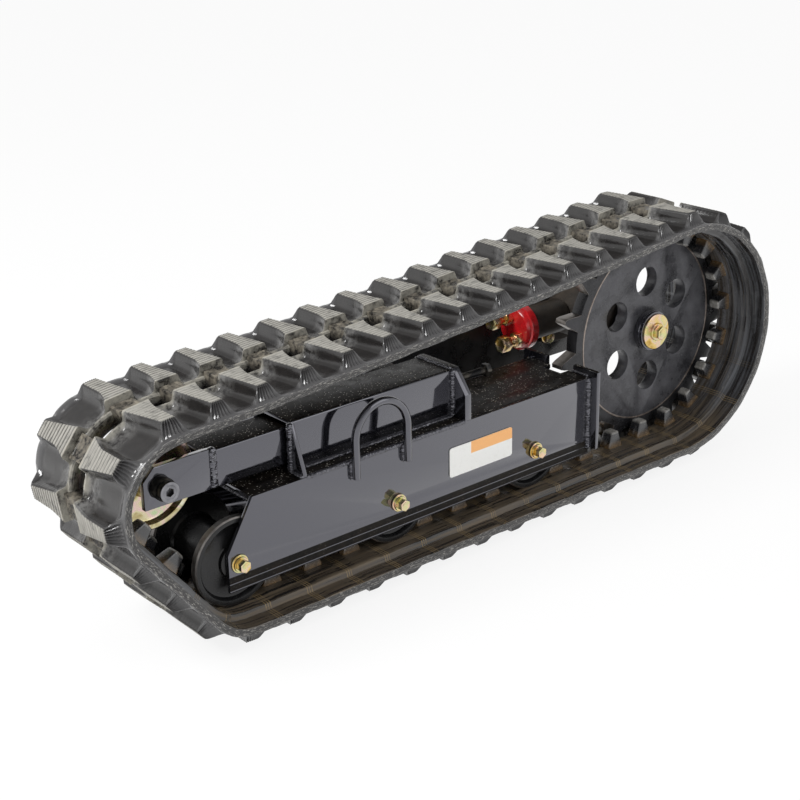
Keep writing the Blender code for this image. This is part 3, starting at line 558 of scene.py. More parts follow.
@dataclass(frozen=True)
class MouldedTrackRubber(Finish):
    """Vulcanised natural rubber with carbon black, pressed in a steel mould.

    Its flanks keep the mould's soft gloss, its tips are scuffed pale and dry, its outer edge
    is torn flash, and its inner side carries brown dust. The zones are read from where the
    belt lay before it was bent. Each ramp runs between two depths, distances or levels.
    """

    name: str = "moulded_track_rubber"
    slot: str = "black_rubber"
    pitch: float = 0.072

    def dress(self, add: AddNode) -> Sockets:
        """Build the zones: tips, flanks, torn edge, inner side with its fine cross ridges.

        Args:
            add: Adds a node to the material and gives its output.

        Returns:
            What goes into the shader's sockets.
        """
        flat = add("Attribute", attribute_name="laid_flat", out="Vector")
        run, side, out = (add("SeparateXYZ", flat, out=axis) for axis in range(3))
        across = add("Math", side, operation="ABSOLUTE")
        level = add("SeparateXYZ", add("TexCoord", out="Object"), out=2)
        # scuffs 1.5 mm apart, flakes of about 2 mm and streaks, all drawn out along the run
        drawn, flaky, streaky = (add("Mapping", flat, Scale=(stretch, 1.0, 1.0))
                                 for stretch in (0.15, 0.20, 0.03))
        scuff = add("TexNoise", drawn, Scale=650.0, Detail=3.0)
        flake = add("TexNoise", flaky, Scale=620.0, Detail=5.0, Roughness=0.75)
        streaks = add("TexNoise", streaky, Scale=190.0, Detail=4.0)
        shine = add("TexNoise", streaky, Scale=150.0, Detail=2.0)
        grime = add("TexNoise", flat, Scale=70.0, Detail=6.0, Roughness=0.65)
        grain = add("TexNoise", flat, Scale=1400.0, Detail=2.0)
        # what lies low, where dust settles
        low = add("MapRange", level, 0.105, 0.050)
        clean = add("Math", 1.0, low, operation="SUBTRACT")
        rim = add("MapRange", across, 0.1128, 0.1146)
        path = add("MapRange", out, -0.0125, -0.0145)
        flap = add("MapRange", out, -0.0034, -0.0046)
        inner = add("Math", path, add("Math", flap, low, operation="MULTIPLY"),
                    operation="MAXIMUM")
        dust = add("MapRange", streaks, 0.48, 0.76, 0.0, 0.40)
        for more, where in ((add("MapRange", streaks, 0.38, 0.66, 0.0, 0.66), low),
                            (add("MapRange", across, 0.054, 0.044, 0.0, 0.40), grime)):
            more = add("Math", more, where, operation="MULTIPLY")
            dust = add("Math", dust, more, operation="MAXIMUM")
        # three fine ridges, 4 mm apart, cross the inner side once a pitch
        beat = add("Math", run, self.pitch, operation="FLOORED_MODULO")
        spot = add("Math", beat, 0.0350, operation="SUBTRACT")
        group = add("Math", add("Math", spot, operation="ABSOLUTE"), 0.0060,
                    operation="LESS_THAN")
        tooth = add("MapRange", add("Math", spot, 0.0020, operation="PINGPONG"), 0.0010, 0.0003)
        line = add("Math", tooth, group, operation="MULTIPLY")
        line = add("Math", line, add("Math", out, -0.004, operation="LESS_THAN"),
                   operation="MULTIPLY")
        # each layer's colour, and the shares whose product is how much it covers
        layers = (
            # a grey painted sheen on the lug's outer end and the flat edge
            ("#8a8a8c", add("MapRange", across, 0.0945, 0.1000, 0.0, 0.20),
             add("MapRange", out, 0.0035, 0.0060)),
            # pale grey painted highlights on the fillets towards the windows
            ("#8f8e8c", add("MapRange", across, 0.056, 0.028, 0.0, 0.55),
             add("MapRange", grime, 0.42, 0.62), add("MapRange", out, 0.0, 0.004)),
            # scuffed tips
            (add("MixRGB", scuff, "#686660", "#b0ada5"), add("MapRange", out, 0.0257, 0.0265),
             add("MapRange", grime, 0.20, 0.48)),
            # dry soil by the windows, paled to a grey that also paints the highlight on the lugs'
            # inner ends
            ("#9a968a", add("MapRange", across, 0.0270, 0.0225),
             add("MapRange", grime, 0.36, 0.58), add("MapRange", out, -0.003, 0.004, 0.0, 0.8)),
            # torn flash on the outer edge
            ("#a9a6a0", rim, add("MapRange", flake, 0.53, 0.66)),
            # brown dust on the roller path, rubbed thin in streaks along the run
            ("#7c6d58", dust, inner),
            # pale painted highlight streaks along the run, on the flap away from the low dust
            ("#8d9096", add("MapRange", shine, 0.42, 0.66, 0.0, 0.45), clean, flap),
            # dust that the fine ridges hold
            ("#9c8660", line, add("MapRange", grime, 0.34, 0.56, 0.0, 0.80),
             add("MapRange", level, 0.160, 0.050)),
        )
        color = add("MixRGB", grime, "#111111", "#2f2c2b")
        covers = []
        for shade, cover, *shares in layers:
            for share in shares:
                cover = add("Math", cover, share, operation="MULTIPLY")
            color = add("MixRGB", cover, color, shade)
            covers.append(cover)
        worn, soil_and_highlight, torn, dusty = covers[2:6]
        # the edge round the tip is dull, and so is what is worn, torn or dirty
        dry = add("MapRange", out, 0.0228, 0.0246, 0.0, 0.75)
        for cover in (worn, torn, dusty, soil_and_highlight):
            dry = add("Math", dry, cover, operation="MAXIMUM")
        height = add("Math", grain, 0.06, operation="MULTIPLY")
        ragged = add("Math", flake, rim, operation="MULTIPLY")
        scored = add("Math", scuff, worn, operation="MULTIPLY")
        for form, depth in ((grime, 0.9), (ragged, 1.6), (line, 0.8), (scored, 0.5)):
            height = add("Math", form, depth, height, operation="MULTIPLY_ADD")
        return {"Base Color": color, "IOR": 1.52, "Specular IOR Level": 0.7,
                "Roughness": add("MapRange", dry, 0.0, 1.0, 0.17, 0.85),
                "Normal": add("Bump", Height=height, Strength=0.6, Distance=0.0006)}


@dataclass(frozen=True)
class GuideRubber(Finish):
    """Dense rubber over the guide lugs' steel: satin, with edges that the wheels polish."""

    name: str = "polished_guide_rubber"
    slot: str = "black_rubber"

    def dress(self, add: AddNode) -> Sockets:
        """Build the satin flanks, the dust at the roots and the worn tops.

        Args:
            add: Adds a node to the material and gives its output.

        Returns:
            What goes into the shader's sockets.
        """
        flat = add("Attribute", attribute_name="laid_flat", out="Vector")
        out = add("SeparateXYZ", flat, out=2)
        grime = add("TexNoise", flat, Scale=120.0, Detail=5.0, Roughness=0.6)
        color = add("MixRGB", grime, "#111112", "#343437")
        # depth where each layer starts and is full, and its colour
        for start, full, shade in ((-0.028, -0.016, "#94764c"), (-0.0385, -0.0425, "#b4b1aa")):
            cover = add("MapRange", out, start, full)
            cover = add("Math", cover, grime, operation="MULTIPLY")
            color = add("MixRGB", cover, color, shade)
        return {"Base Color": color, "IOR": 1.52, "Specular IOR Level": 1.0,
                "Roughness": add("MapRange", grime, 0.0, 1.0, 0.08, 0.42)}


@dataclass(frozen=True)
class CoreSteel(Finish):
    """Rubber-skinned forged core: dull, with dried clay in its recess and scraped edges."""

    name: str = "clay_stained_core"
    slot: str = "black_rubber"

    def dress(self, add: AddNode) -> Sockets:
        """Build the clay, the dark recess and the scraped front faces.

        Args:
            add: Adds a node to the material and gives its output.

        Returns:
            What goes into the shader's sockets.
        """
        flat = add("Attribute", attribute_name="laid_flat", out="Vector")
        out = add("SeparateXYZ", flat, out=2)
        clay = add("TexNoise", flat, Scale=95.0, Detail=6.0, Roughness=0.7)
        share = add("Math", add("MapRange", clay, 0.40, 0.64),
                    add("MapRange", out, 0.001, 0.012), operation="MULTIPLY")
        return {"Base Color": add("MixRGB", share, "#1f1d1b", "#7d7669"),
                "Roughness": add("MapRange", share, 0.0, 1.0, 0.25, 0.85),
                "Normal": add("Bump", Height=clay, Strength=0.5, Distance=0.0008)}


@dataclass(frozen=True)
class GlossPowderCoat(Finish):
    """Polyester powder coat, baked on steel: a mirror-like black with a faint orange peel."""

    name: str = "gloss_black_powder_coat"
    slot: str = "gloss_black_paint"
    peel: float = 400.0
    depth: float = 0.05

    def dress(self, add: AddNode) -> Sockets:
        """Build the coat, its handling marks and its orange peel of 2.5 mm.

        Args:
            add: Adds a node to the material and gives its output.

        Returns:
            What goes into the shader's sockets.
        """
        place = add("TexCoord", out="Object")
        marks = add("TexNoise", place, Scale=24.0, Detail=6.0, Roughness=0.7)
        peel = add("TexNoise", place, Scale=self.peel, Detail=1.0)
        return {"Base Color": add("MixRGB", marks, "#0c0c0f", "#1c1c20"),
                "Roughness": add("MapRange", marks, 0.4, 0.8, 0.05, 0.20),
                "Normal": add("Bump", Height=peel, Strength=self.depth, Distance=0.0004),
                "Specular IOR Level": 1.0, "Specular Tint": "#e9e9ff",
                "Coat Weight": 1.0, "Coat Roughness": 0.03, "Coat IOR": 1.66}


@dataclass(frozen=True)
class DustedShadedCoat(Finish):
    """The coat where it faces up: dust film, pale grit, and a dull darkness that is painted
    shade.
    """

    name: str = "dusted_shaded_black_coat"
    slot: str = "gloss_black_paint"
    specks: float = 1.0
    specular: float = 0.08

    def dress(self, add: AddNode) -> Sockets:
        """Build the film, and specks of about 1.2 mm a few millimetres apart.

        Args:
            add: Adds a node to the material and gives its output.

        Returns:
            What goes into the shader's sockets.
        """
        place = add("TexCoord", out="Object")
        cells = add("TexVoronoi", place, Scale=230.0, Randomness=1.0, out="Distance")
        drift = add("TexNoise", place, Scale=40.0, Detail=6.0, Roughness=0.75)
        speck = add("MapRange", cells, 0.24, 0.16)
        for share in (add("MapRange", drift, 0.42, 0.54), self.specks):
            speck = add("Math", speck, share, operation="MULTIPLY")
        film = add("MapRange", drift, 0.35, 0.70, 0.0, 0.08)
        base = add("MixRGB", film, "#0c0b0b", "#7a6c5a")
        return {"Base Color": add("MixRGB", speck, base, "#cfcac1"),
                "Roughness": add("MapRange", drift, 0.3, 0.7, 0.20, 0.50),
                "Specular IOR Level": self.specular}


@dataclass(frozen=True)
class PaintedCastSteel(Finish):
    """Flame-cut steel under a thin satin black paint, rubbed by the belt.

    The paint is dark blue-grey with a fine pitted grain and brown dust in its hollows. Where
    a rim is given, the zone outside it is darkened as painted shade.
    """

    name: str = "satin_painted_steel"
    slot: str = "dark_cast_steel"
    low: str = "#2c2c2f"
    high: str = "#56565a"
    roughness: float = 0.42
    hub: tuple[float, float] = (0.0, 0.0)
    rim: float = 0.0

    def dress(self, add: AddNode) -> Sockets:
        """Build the mottled paint, its pits of about 1.5 mm and the painted shade outside the
        rim.

        Args:
            add: Adds a node to the material and gives its output.

        Returns:
            What goes into the shader's sockets.
        """
        place = add("TexCoord", out="Object")
        cloud = add("TexNoise", place, Scale=26.0, Detail=6.0, Roughness=0.6)
        grain = add("TexNoise", place, Scale=650.0, Detail=3.0)
        mixed = add("Math", grain, 0.55, cloud, operation="MULTIPLY_ADD")
        color = add("MixRGB", add("MapRange", mixed, 0.55, 1.0), self.low, self.high)
        if self.rim:
            spot = add("Mapping", place, Location=(-self.hub[0], 0.0, -self.hub[1]),
                       Scale=(1.0, 0.0, 1.0))
            reach = add("VectorMath", spot, operation="LENGTH", out="Value")
            # painted shade: the paint is darker outside the rim's radius
            outside = add("MapRange", reach, self.rim - 0.002, self.rim + 0.002, 0.0, 0.6)
            color = add("MixRGB", outside, color, "#161617")
        return {"Base Color": color, "Metallic": 0.25,
                "Roughness": add("MapRange", cloud, 0.3, 0.7, self.roughness - 0.12,
                                 self.roughness + 0.12),
                "Normal": add("Bump", Height=grain, Strength=0.35, Distance=0.0005)}


@dataclass(frozen=True)
class YellowZinc(Finish):
    """Zinc plate with a yellow chromate film: soft gold with pink and green bands."""

    name: str = "yellow_zinc_chromate"
    slot: str = "yellow_zinc"
    shades: tuple[str, ...] = ("#b98f3f", "#e3c77e", "#e9c9b4", "#d2d39a", "#e8cf94", "#e6d6a0")
    places: tuple[float, ...] = (0.30, 0.42, 0.50, 0.58, 0.65, 0.72)

    def dress(self, add: AddNode) -> Sockets:
        """Build the film's colour bands and a fine grain.

        Args:
            add: Adds a node to the material and gives its output.

        Returns:
            What goes into the shader's sockets.
        """
        place = add("TexCoord", out="Object")
        film = add("TexNoise", place, Scale=38.0, Detail=2.0, Distortion=0.6)
        bands = add("ValToRGB", film)
        stops = bands.node.color_ramp.elements
        for stop, index in ((stops[0], 0), (stops[1], -1)):
            stop.position, stop.color = self.places[index], linear(self.shades[index])
        for position, shade in zip(self.places[1:-1], self.shades[1:-1]):
            stops.new(position).color = linear(shade)
        grain = add("TexNoise", place, Scale=900.0, Detail=2.0)
        return {"Base Color": bands, "Metallic": 1.0,
                "Roughness": add("MapRange", grain, 0.0, 1.0, 0.20, 0.36),
                "Normal": add("Bump", Height=grain, Strength=0.08, Distance=0.0003)}


@dataclass(frozen=True)
class CloudedFinish(Finish):
    """Finish of two tones in clouds that also change its gloss, over a fine grain if it has one.

    The spread holds where the second tone starts and is full, and how much of it shows then.
    The gloss holds the roughness at both ends of the clouds.
    """

    low: str = "#202020"
    high: str = "#404040"
    clouds: float = 120.0
    spread: tuple[float, float, float] = (0.0, 1.0, 1.0)
    gloss: tuple[float, float] = (0.25, 0.50)
    grain: float = 0.0
    metallic: float = 0.0
    coat: float = 0.0

    def dress(self, add: AddNode) -> Sockets:
        """Build the clouds, and the grain's bump.

        Args:
            add: Adds a node to the material and gives its output.

        Returns:
            What goes into the shader's sockets.
        """
        place = add("TexCoord", out="Object")
        cloud = add("TexNoise", place, Scale=self.clouds, Detail=5.0)
        start, full, most = self.spread
        share = add("MapRange", cloud, start, full, 0.0, most)
        sockets = {"Base Color": add("MixRGB", share, self.low, self.high),
                   "Roughness": add("MapRange", cloud, 0.0, 1.0, *self.gloss),
                   "Metallic": self.metallic, "Coat Weight": self.coat}
        if self.grain:
            grain = add("TexNoise", place, Scale=self.grain, Detail=3.0)
            sockets["Normal"] = add("Bump", Height=grain, Strength=0.15, Distance=0.0005)
        return sockets


@dataclass(frozen=True)
class RubbedSteel(CloudedFinish):
    """Steel rubbed bright by what runs on it, with a brown tinge."""

    slot: str = "dark_cast_steel"
    metallic: float = 0.9


@dataclass(frozen=True)
class BlackOxide(CloudedFinish):
    """Hot-blackened alloy steel, oiled: near-black with a dim metal sheen and some dust."""

    name: str = "oiled_black_oxide"
    slot: str = "black_oxide"
    low: str = "#232324"
    high: str = "#6d6860"
    clouds: float = 90.0
    spread: tuple[float, float, float] = (0.45, 0.75, 1.0)
    gloss: tuple[float, float] = (0.22, 0.50)
    metallic: float = 0.7


@dataclass(frozen=True)
class RedEnamel(CloudedFinish):
    """Sprayed red enamel on cast iron: glossy, a little uneven, dusty in places."""

    name: str = "sprayed_red_enamel"
    slot: str = "red_paint"
    low: str = "#cf1d24"
    high: str = "#9c181b"
    clouds: float = 60.0
    spread: tuple[float, float, float] = (0.35, 0.75, 1.0)
    gloss: tuple[float, float] = (0.14, 0.40)
    grain: float = 500.0
    coat: float = 0.4


@dataclass(frozen=True)
class ScreenPrintedVinyl(CloudedFinish):
    """Printed vinyl film: flat, even colour under a faint sheen, with traces of handling."""

    name: str = "white_vinyl"
    slot: str = "white_enamel"
    low: str = "#efefec"
    high: str = "#9b9488"
    clouds: float = 130.0
    spread: tuple[float, float, float] = (0.55, 0.80, 0.12)
    gloss: tuple[float, float] = (0.30, 0.45)


RUBBER = MouldedTrackRubber()
GUIDE_RUBBER = GuideRubber()
CORE_STEEL = CoreSteel()
BLACK_COAT = GlossPowderCoat()
WELD_COAT = GlossPowderCoat("gloss_coat_on_weld_metal", peel=520.0, depth=1.0)
# dust, and painted shade that darkens the faces that look up
DUSTED_SHADED_COAT = DustedShadedCoat()
# duller, darker strips on the side panels' foot
FOOT_STRIP_COAT = DustedShadedCoat("dull_foot_strip_coat", specks=0.06, specular=0.12)
SPROCKET_PAINT = PaintedCastSteel(
    "satin_painted_sprocket_steel", low="#303033", high="#5f5f63", roughness=0.30,
    hub=(centre_of("hub_washer").x, centre_of("hub_washer").z), rim=0.160)
ROLLER_STEEL = PaintedCastSteel("satin_black_roller_steel", low="#0f0f10", high="#252526",
                                roughness=0.24)
SATIN_COAT = PaintedCastSteel("satin_black_powder_coat", low="#121213", high="#1f1e1e",
                              roughness=0.30)
DUSTY_STEEL = PaintedCastSteel("dusty_painted_steel", low="#1c1a18", high="#4a4138",
                               roughness=0.55)
ROLLER_RIM = RubbedSteel("rubbed_roller_rim", low="#4c4948", high="#b3aeaa")
RUB_MARK = RubbedSteel("rust_brown_rub_mark", low="#5f4f46", high="#c4b9b0")
TOOTH_EDGE = RubbedSteel("polished_tooth_edge", low="#4a4644", high="#bdb6af")
SOCKET_FACE = RubbedSteel("turned_socket_face", low="#55555a", high="#a9a9ad")
ZINC = YellowZinc()
PALE_ZINC = YellowZinc("pale_zinc_chromate", shades=(
    "#a39160", "#cfc7a0", "#dcbcb8", "#b4c79c", "#d9c9a4", "#dedcc4"))
OXIDE = BlackOxide()
RED = RedEnamel()
WHITE_VINYL = ScreenPrintedVinyl()
ORANGE_VINYL = ScreenPrintedVinyl("orange_vinyl", low="#f7b774")


# Belt


@dataclass(frozen=True)
class Stretch:
    """Straight or bend of the line that the belt's cords follow.

    It starts over the point x, z of a wheel, at the wrap's distance from it.
    """

    x: float
    z: float
    wrap: float
    heading: float
    length: float
    bends: bool = False
    sag: float = 0.0


@dataclass
class TrackBelt:
    """Endless rubber belt: one pitch is modelled flat, then repeated and bent round the wheels.

    Heights are measured out from the line of the cords.
    """

    pitch: float = 0.072
    links: int = 41
    teeth: int = 17
    half_width: float = 0.115
    face: float = 0.007
    lug_height: float = 0.0198
    flap: float = -0.005
    path: float = -0.015
    window: float = 0.020
    mouth: float = 0.0150
    tip_inner: float = 0.022
    tip_outer: float = 0.095
    hook_start: float = 0.053
    straight_edge: float = 0.0100
    outer_reach: float = 0.0070
    inner_reach: float = 0.0175
    ridges: int = 11
    groove: float = 0.0016
    tip_round: float = 0.0013
    pocket: float = 0.0026
    lip: float = 0.0034
    end_spread: tuple[float, float] = (0.009, 0.012)
    end_fan: float = 0.68
    end_foot: float = 0.70
    flutes: int = 6
    flute_depth: float = 0.0026
    long_edge: float = 0.012
    sag: float = 0.006
    cords_over_floor: float = 0.027
    roller_margin: float = 0.002
    idler_wrap: float = 0.090

    def tip_edges(self, y: float) -> tuple[float, float]:
        """Where a lug's tip starts and ends along the run, on the side of negative y.

        Args:
            y: Distance from the belt's middle.

        Returns:
            The hooked edge and the flared edge.
        """
        share = (self.tip_outer - y) / (self.tip_outer - self.tip_inner)
        flared = self.outer_reach + (self.inner_reach - self.outer_reach) * share
        hook = max(0.0, self.hook_start - y) / (self.hook_start - self.tip_inner)
        hooked = self.straight_edge + (self.inner_reach - self.straight_edge) * hook ** 1.5
        return -hooked, flared

    def end_edges(self, y: float) -> tuple[float, float]:
        """A lug's edges along the run, which spread on the lug's outer end.

        Args:
            y: Distance from the belt's middle.

        Returns:
            The hooked edge and the flared edge.
        """
        start, end = self.tip_edges(max(self.tip_inner, min(y, self.tip_outer)))
        fan = max(0.0, (y - self.tip_outer) / (self.half_width - self.tip_outer))
        fan = min(1.0, fan / self.end_fan)
        return start - self.end_spread[0] * fan, end + self.end_spread[1] * fan

    def rows(self) -> list[tuple[float, float, float]]:
        """Rows of the tread from the window to the edge.

        Returns:
            Distance from the middle, height share of the tip and drop of the tip's grooves.
        """
        found = [(self.mouth, 0.0, 0.0), (self.mouth + 0.0030, 0.0, 0.0),
                 (self.window + 0.0008, 0.10, 0.0)]
        step = (self.tip_outer - self.tip_inner) / self.ridges
        for ridge in range(self.ridges):
            y = self.tip_inner + ridge * step
            found += [(y, 1.0, 0.0), (y + step * 0.66, 1.0, 0.0003),
                      (y + step * 0.84, 1.0, self.groove)]
        found.append((self.tip_outer, 1.0, 0.0))
        drop = self.half_width - self.tip_outer
        # share of the way from the tip to the edge, and height share there
        for share, height in ((0.13, 0.86), (0.28, 0.60), (0.43, 0.33), (0.56, 0.12),
                              (0.68, 0.01), (0.90, 0.0), (1.0, -0.04)):
            found.append((self.tip_outer + drop * share, height, 0.0))
        return found

    def ground(self, y: float) -> float:
        """Height of the belt's face between two lugs: lip, pocket and flat edge.

        Args:
            y: Distance from the belt's middle.

        Returns:
            The height over the face.
        """
        lip = max(0.0, min(1.0, (0.0266 - y) / 0.0046)) if y > self.mouth + 1e-5 else 0.25
        wall = max(0.0, min(1.0, (self.half_width - 0.0068 - y) / 0.0075))
        wall = wall * wall * (3 - 2 * wall)
        return self.lip * lip - self.pocket * wall * (1 - lip)

    def half_link(self) -> Workpiece:
        """Model one half of a pitch as a grid whose points are slid to the lug's shape.

        Returns:
            The half link.
        """
        rows = self.rows()
        # share of the flank's foot, step in from the tip's edge, and rise
        flank = ((1.0, 0.0, 0.0), (0.64, 0.0, 0.045), (0.36, 0.0, 0.20),
                 (0.20, 0.0, 0.50), (0.08, 0.0, 0.86), (0.0, self.tip_round * 0.3, 0.980),
                 (0.0, self.tip_round, 1.0))
        least_foot, clear_foot = 0.0125, 0.0225
        columns = 2 * len(flank) + 2
        Workpiece.clear_bench()
        bpy.ops.mesh.primitive_grid_add(x_subdivisions=columns - 1, y_subdivisions=len(rows) - 1,
                                        size=1)
        half = Workpiece("belt_half")
        half.edit()
        mesh = bmesh.from_edit_mesh(half.body.data)
        for point in mesh.verts:
            column = round((point.co.x + 0.5) * (columns - 1))
            y, height, drop = rows[round((0.5 - point.co.y) * (len(rows) - 1))]
            start, end = self.end_edges(y)
            rise = 0.0
            if column in (0, columns - 1):
                s = -self.pitch / 2 if column == 0 else self.pitch / 2
            elif column <= len(flank):
                foot, inset, rise = flank[column - 1]
                s = start - foot * max(least_foot, clear_foot + start) + inset
            else:
                foot, inset, rise = flank[::-1][column - len(flank) - 1]
                s = end + foot * max(least_foot, clear_foot - end) - inset
            cut = drop if rise == 1.0 else drop * 0.5 if rise > 0.9 else 0.0
            lift = self.face + self.lug_height * height * rise - cut
            point.co = (s, -y, lift + self.ground(y) * (1 - rise * min(1.0, height * 3)))
        bmesh.update_edit_mesh(half.body.data)
        self.flute(half)
        self.wrap_section(half)
        self.divide_long_faces(half)
        return half

    def flute(self, half: Workpiece) -> None:
        """Cut flutes into the lug's outer end by subdividing it and pressing in every other line.

        Args:
            half: The half link.
        """
        tip = self.tip_outer
        foot = tip + self.end_foot * (self.half_width - tip)

        def crosses(edge: bmesh.types.BMEdge) -> bool:
            """Tell whether an edge runs across the lug's outer end.

            Args:
                edge: An edge of the link.

            Returns:
                True for such an edge.
            """
            a, b = edge.verts
            return (abs(a.co.y - b.co.y) < 1e-6 and -foot < a.co.y < -tip + 1e-5
                    and a.co.x * b.co.x < 0 and abs(a.co.x) < 0.03)

        half.pick(Pick.EDGES, crosses)
        bpy.ops.mesh.subdivide(number_cuts=2 * self.flutes - 1)
        mesh = bmesh.from_edit_mesh(half.body.data)
        for point in mesh.verts:
            y = -point.co.y
            if not tip - 1e-6 < y < foot:
                continue
            start, end = self.end_edges(y)
            start += self.tip_round
            end -= self.tip_round
            share = (point.co.x - start) / (end - start)
            if 0.02 < share < 0.98:
                wave = 0.5 - 0.5 * math.cos(TAU * self.flutes * share)
                low = (y - tip) / (foot - tip)
                bite = self.flute_depth * wave * min(1.0, 0.30 + 4 * low) * (1 - 0.85 * low ** 3)
                point.co.z -= bite
                point.co.y += bite * 0.7
        bmesh.update_edit_mesh(half.body.data)

    def wrap_section(self, half: Workpiece) -> None:
        """Extrude the tread's outer edge round to the inner side and up the window's wall.

        Args:
            half: The half link.
        """
        edge = -self.half_width + 1e-5
        half.pick(Pick.EDGES, lambda e: e.verts[0].co.y < edge and e.verts[1].co.y < edge)
        section = [(-0.115, 0.0062), (-0.1146, 0.0040), (-0.1150, 0.0010), (-0.1146, -0.0030),
                   (-0.1130, self.flap), (-0.0995, self.flap - 0.0006), (-0.0855, self.flap),
                   (-0.0846, -0.0075), (-0.0828, -0.0140), (-0.0800, self.path),
                   (-0.0630, self.path), (-0.0440, self.path - 0.0004),
                   (-self.window - 0.001, self.path), (-self.window, self.path + 0.001),
                   (-self.mouth - 0.0012, 0.0), (-self.mouth, self.face + 0.25 * self.lip)]
        for (y0, z0), (y1, z1) in zip(section, section[1:]):
            half.push((0, y1 - y0, z1 - z0))
        half.tidy()

    def divide_long_faces(self, half: Workpiece) -> None:
        """Divide what spans a whole lug at the edge, inside and by the window, to bend it round.

        Args:
            half: The half link.
        """
        foot = self.tip_outer + self.end_foot * (self.half_width - self.tip_outer)

        def spans(edge: bmesh.types.BMEdge) -> bool:
            """Tell whether an edge is a long one along the run, off the lug's tip.

            Args:
                edge: An edge of the link.

            Returns:
                True for such an edge.
            """
            a, b = edge.verts
            return (abs(a.co.y - b.co.y) < 1e-6 and abs(a.co.x - b.co.x) > self.long_edge
                    and (a.co.y < -foot or a.co.z < 0.0062 or a.co.y > -self.window - 0.0015))

        half.pick(Pick.EDGES, spans)
        bpy.ops.mesh.subdivide(number_cuts=2)

    def guide_lug(self) -> Workpiece:
        """Model a guide lug: a block whose tip is drawn in and whose corners are rounded.

        Returns:
            The lug.
        """
        half_length, near, far, middle = 0.0165, -0.0452, -0.0200, -0.0326
        lug = Workpiece.block("guide_lug", (-half_length, near, self.path - 0.002),
                              (half_length, far, self.path + 0.003))
        lug.pick_facing(DOWN)
        # push, and share that the tip keeps along and across the run
        for depth, along, across in ((0.010, 0.80, 0.93), (0.016, 0.66, 0.86)):
            lug.push((0, 0, -depth))
            lug.scale((along, across, 1), (0, middle, 0))
        lug.soften(0.0035, 3, 25)
        lug.tidy()
        return lug

    def core_block(self) -> Workpiece:
        """Model the middle block over the steel core: a drawn-in crown on a bar.

        Returns:
            The block.
        """
        core = Workpiece.block("core_blocks", (-0.0170, -0.0206, -0.0176),
                               (0.0170, 0.0206, 0.0060))
        core.pick_facing(UP)
        # push, and share that the crown keeps along and across the run
        for depth, along, across in ((0.0046, 0.93, 1), (0.0069, 0.97, 0.95)):
            core.push((0, 0, depth))
            core.scale((along, across, 1), (0, 0, 0))
        core.inset(0.0036)
        core.inset(0.0010, -0.0014)
        core.soften(0.0012, 2, 30)
        core.tidy()
        return core

    def with_far_side(self, near: Workpiece) -> Workpiece:
        """Copy a near-side piece, turn the copy to the far side and join both.

        Args:
            near: The near-side piece.

        Returns:
            The joined piece.
        """
        far = near.copy("far_side")
        bpy.ops.transform.rotate(value=math.pi, orient_axis="Z", center_override=(0, 0, 0))
        near.add(far)
        return near

    def wheels(self) -> list[tuple[float, float, float]]:
        """Read the wheels' places from the frame, in the order that the belt meets them.

        Returns:
            Centre along the machine, height and wrap radius of each.
        """
        first, last = centre_of("road_roller_1"), centre_of("road_roller_3")
        sprocket, idler = centre_of("hub_washer"), centre_of("idler_wheel")
        height = first.z + self.roller_margin
        low_wrap = height - self.cords_over_floor
        return [(first.x - self.roller_margin, height, low_wrap), (last.x, height, low_wrap),
                (sprocket.x, sprocket.z, self.teeth * self.pitch / TAU),
                (idler.x, idler.z, self.idler_wrap)]

    def stretches(self) -> list[Stretch]:
        """Straights and bends of the cords' line, from the first roller round the loop.

        Returns:
            The stretches.
        """
        wheels = self.wheels()
        headings, straights = [], []
        for (x, z, wrap), (next_x, next_z, next_wrap) in zip(wheels, wheels[1:] + wheels[:1]):
            span = math.hypot(next_x - x, next_z - z)
            lean = math.asin((wrap - next_wrap) / span)
            headings.append(math.atan2(next_z - z, next_x - x) + lean)
            straights.append(span * math.cos(lean))
        found = []
        for index, (heading, straight) in enumerate(zip(headings, straights)):
            after = (index + 1) % len(wheels)
            turn = (headings[after] - heading + 1e-4) % TAU - 1e-4
            # the top run, behind the sprocket at index 2, sags
            found += [Stretch(*wheels[index], heading, straight, sag=self.sag * (index == 2)),
                      Stretch(*wheels[after], heading, turn * wheels[after][2], bends=True)]
        return found

    def bend(self, flat: np.ndarray) -> np.ndarray:
        """Carry points of the flat belt to the loop.

        Args:
            flat: Run, side and depth of each point.

        Returns:
            The points on the loop.
        """
        stretches = self.stretches()
        run = flat[:, 0] % sum(part.length for part in stretches)
        made = np.zeros_like(flat)
        start = 0.0
        for part in stretches:
            here = (run >= start) & (run <= start + part.length)
            local = run[here] - start
            angle, walk = part.heading + 0 * local, local
            reach = part.wrap + flat[here, 2]
            if part.bends:
                angle, walk = part.heading + local / part.wrap, 0 * local
            elif part.sag:
                share = local / part.length
                reach = reach - part.sag * 4 * share * (1 - share)
            along_x, along_z = np.cos(angle), np.sin(angle)
            made[here, 0] = part.x + along_z * reach + along_x * walk
            made[here, 1] = flat[here, 1]
            made[here, 2] = part.z - along_x * reach + along_z * walk
            start += part.length
        return made

    def build(self) -> None:
        """Lay the rubber, guide lugs and cores round the wheels."""
        self.lay_round(self.with_far_side(self.half_link()), "rubber_belt", RUBBER, 38)
        self.lay_round(self.with_far_side(self.guide_lug()), "guide_lugs", GUIDE_RUBBER, 45)
        self.lay_round(self.core_block(), "steel_cores", CORE_STEEL, 35)

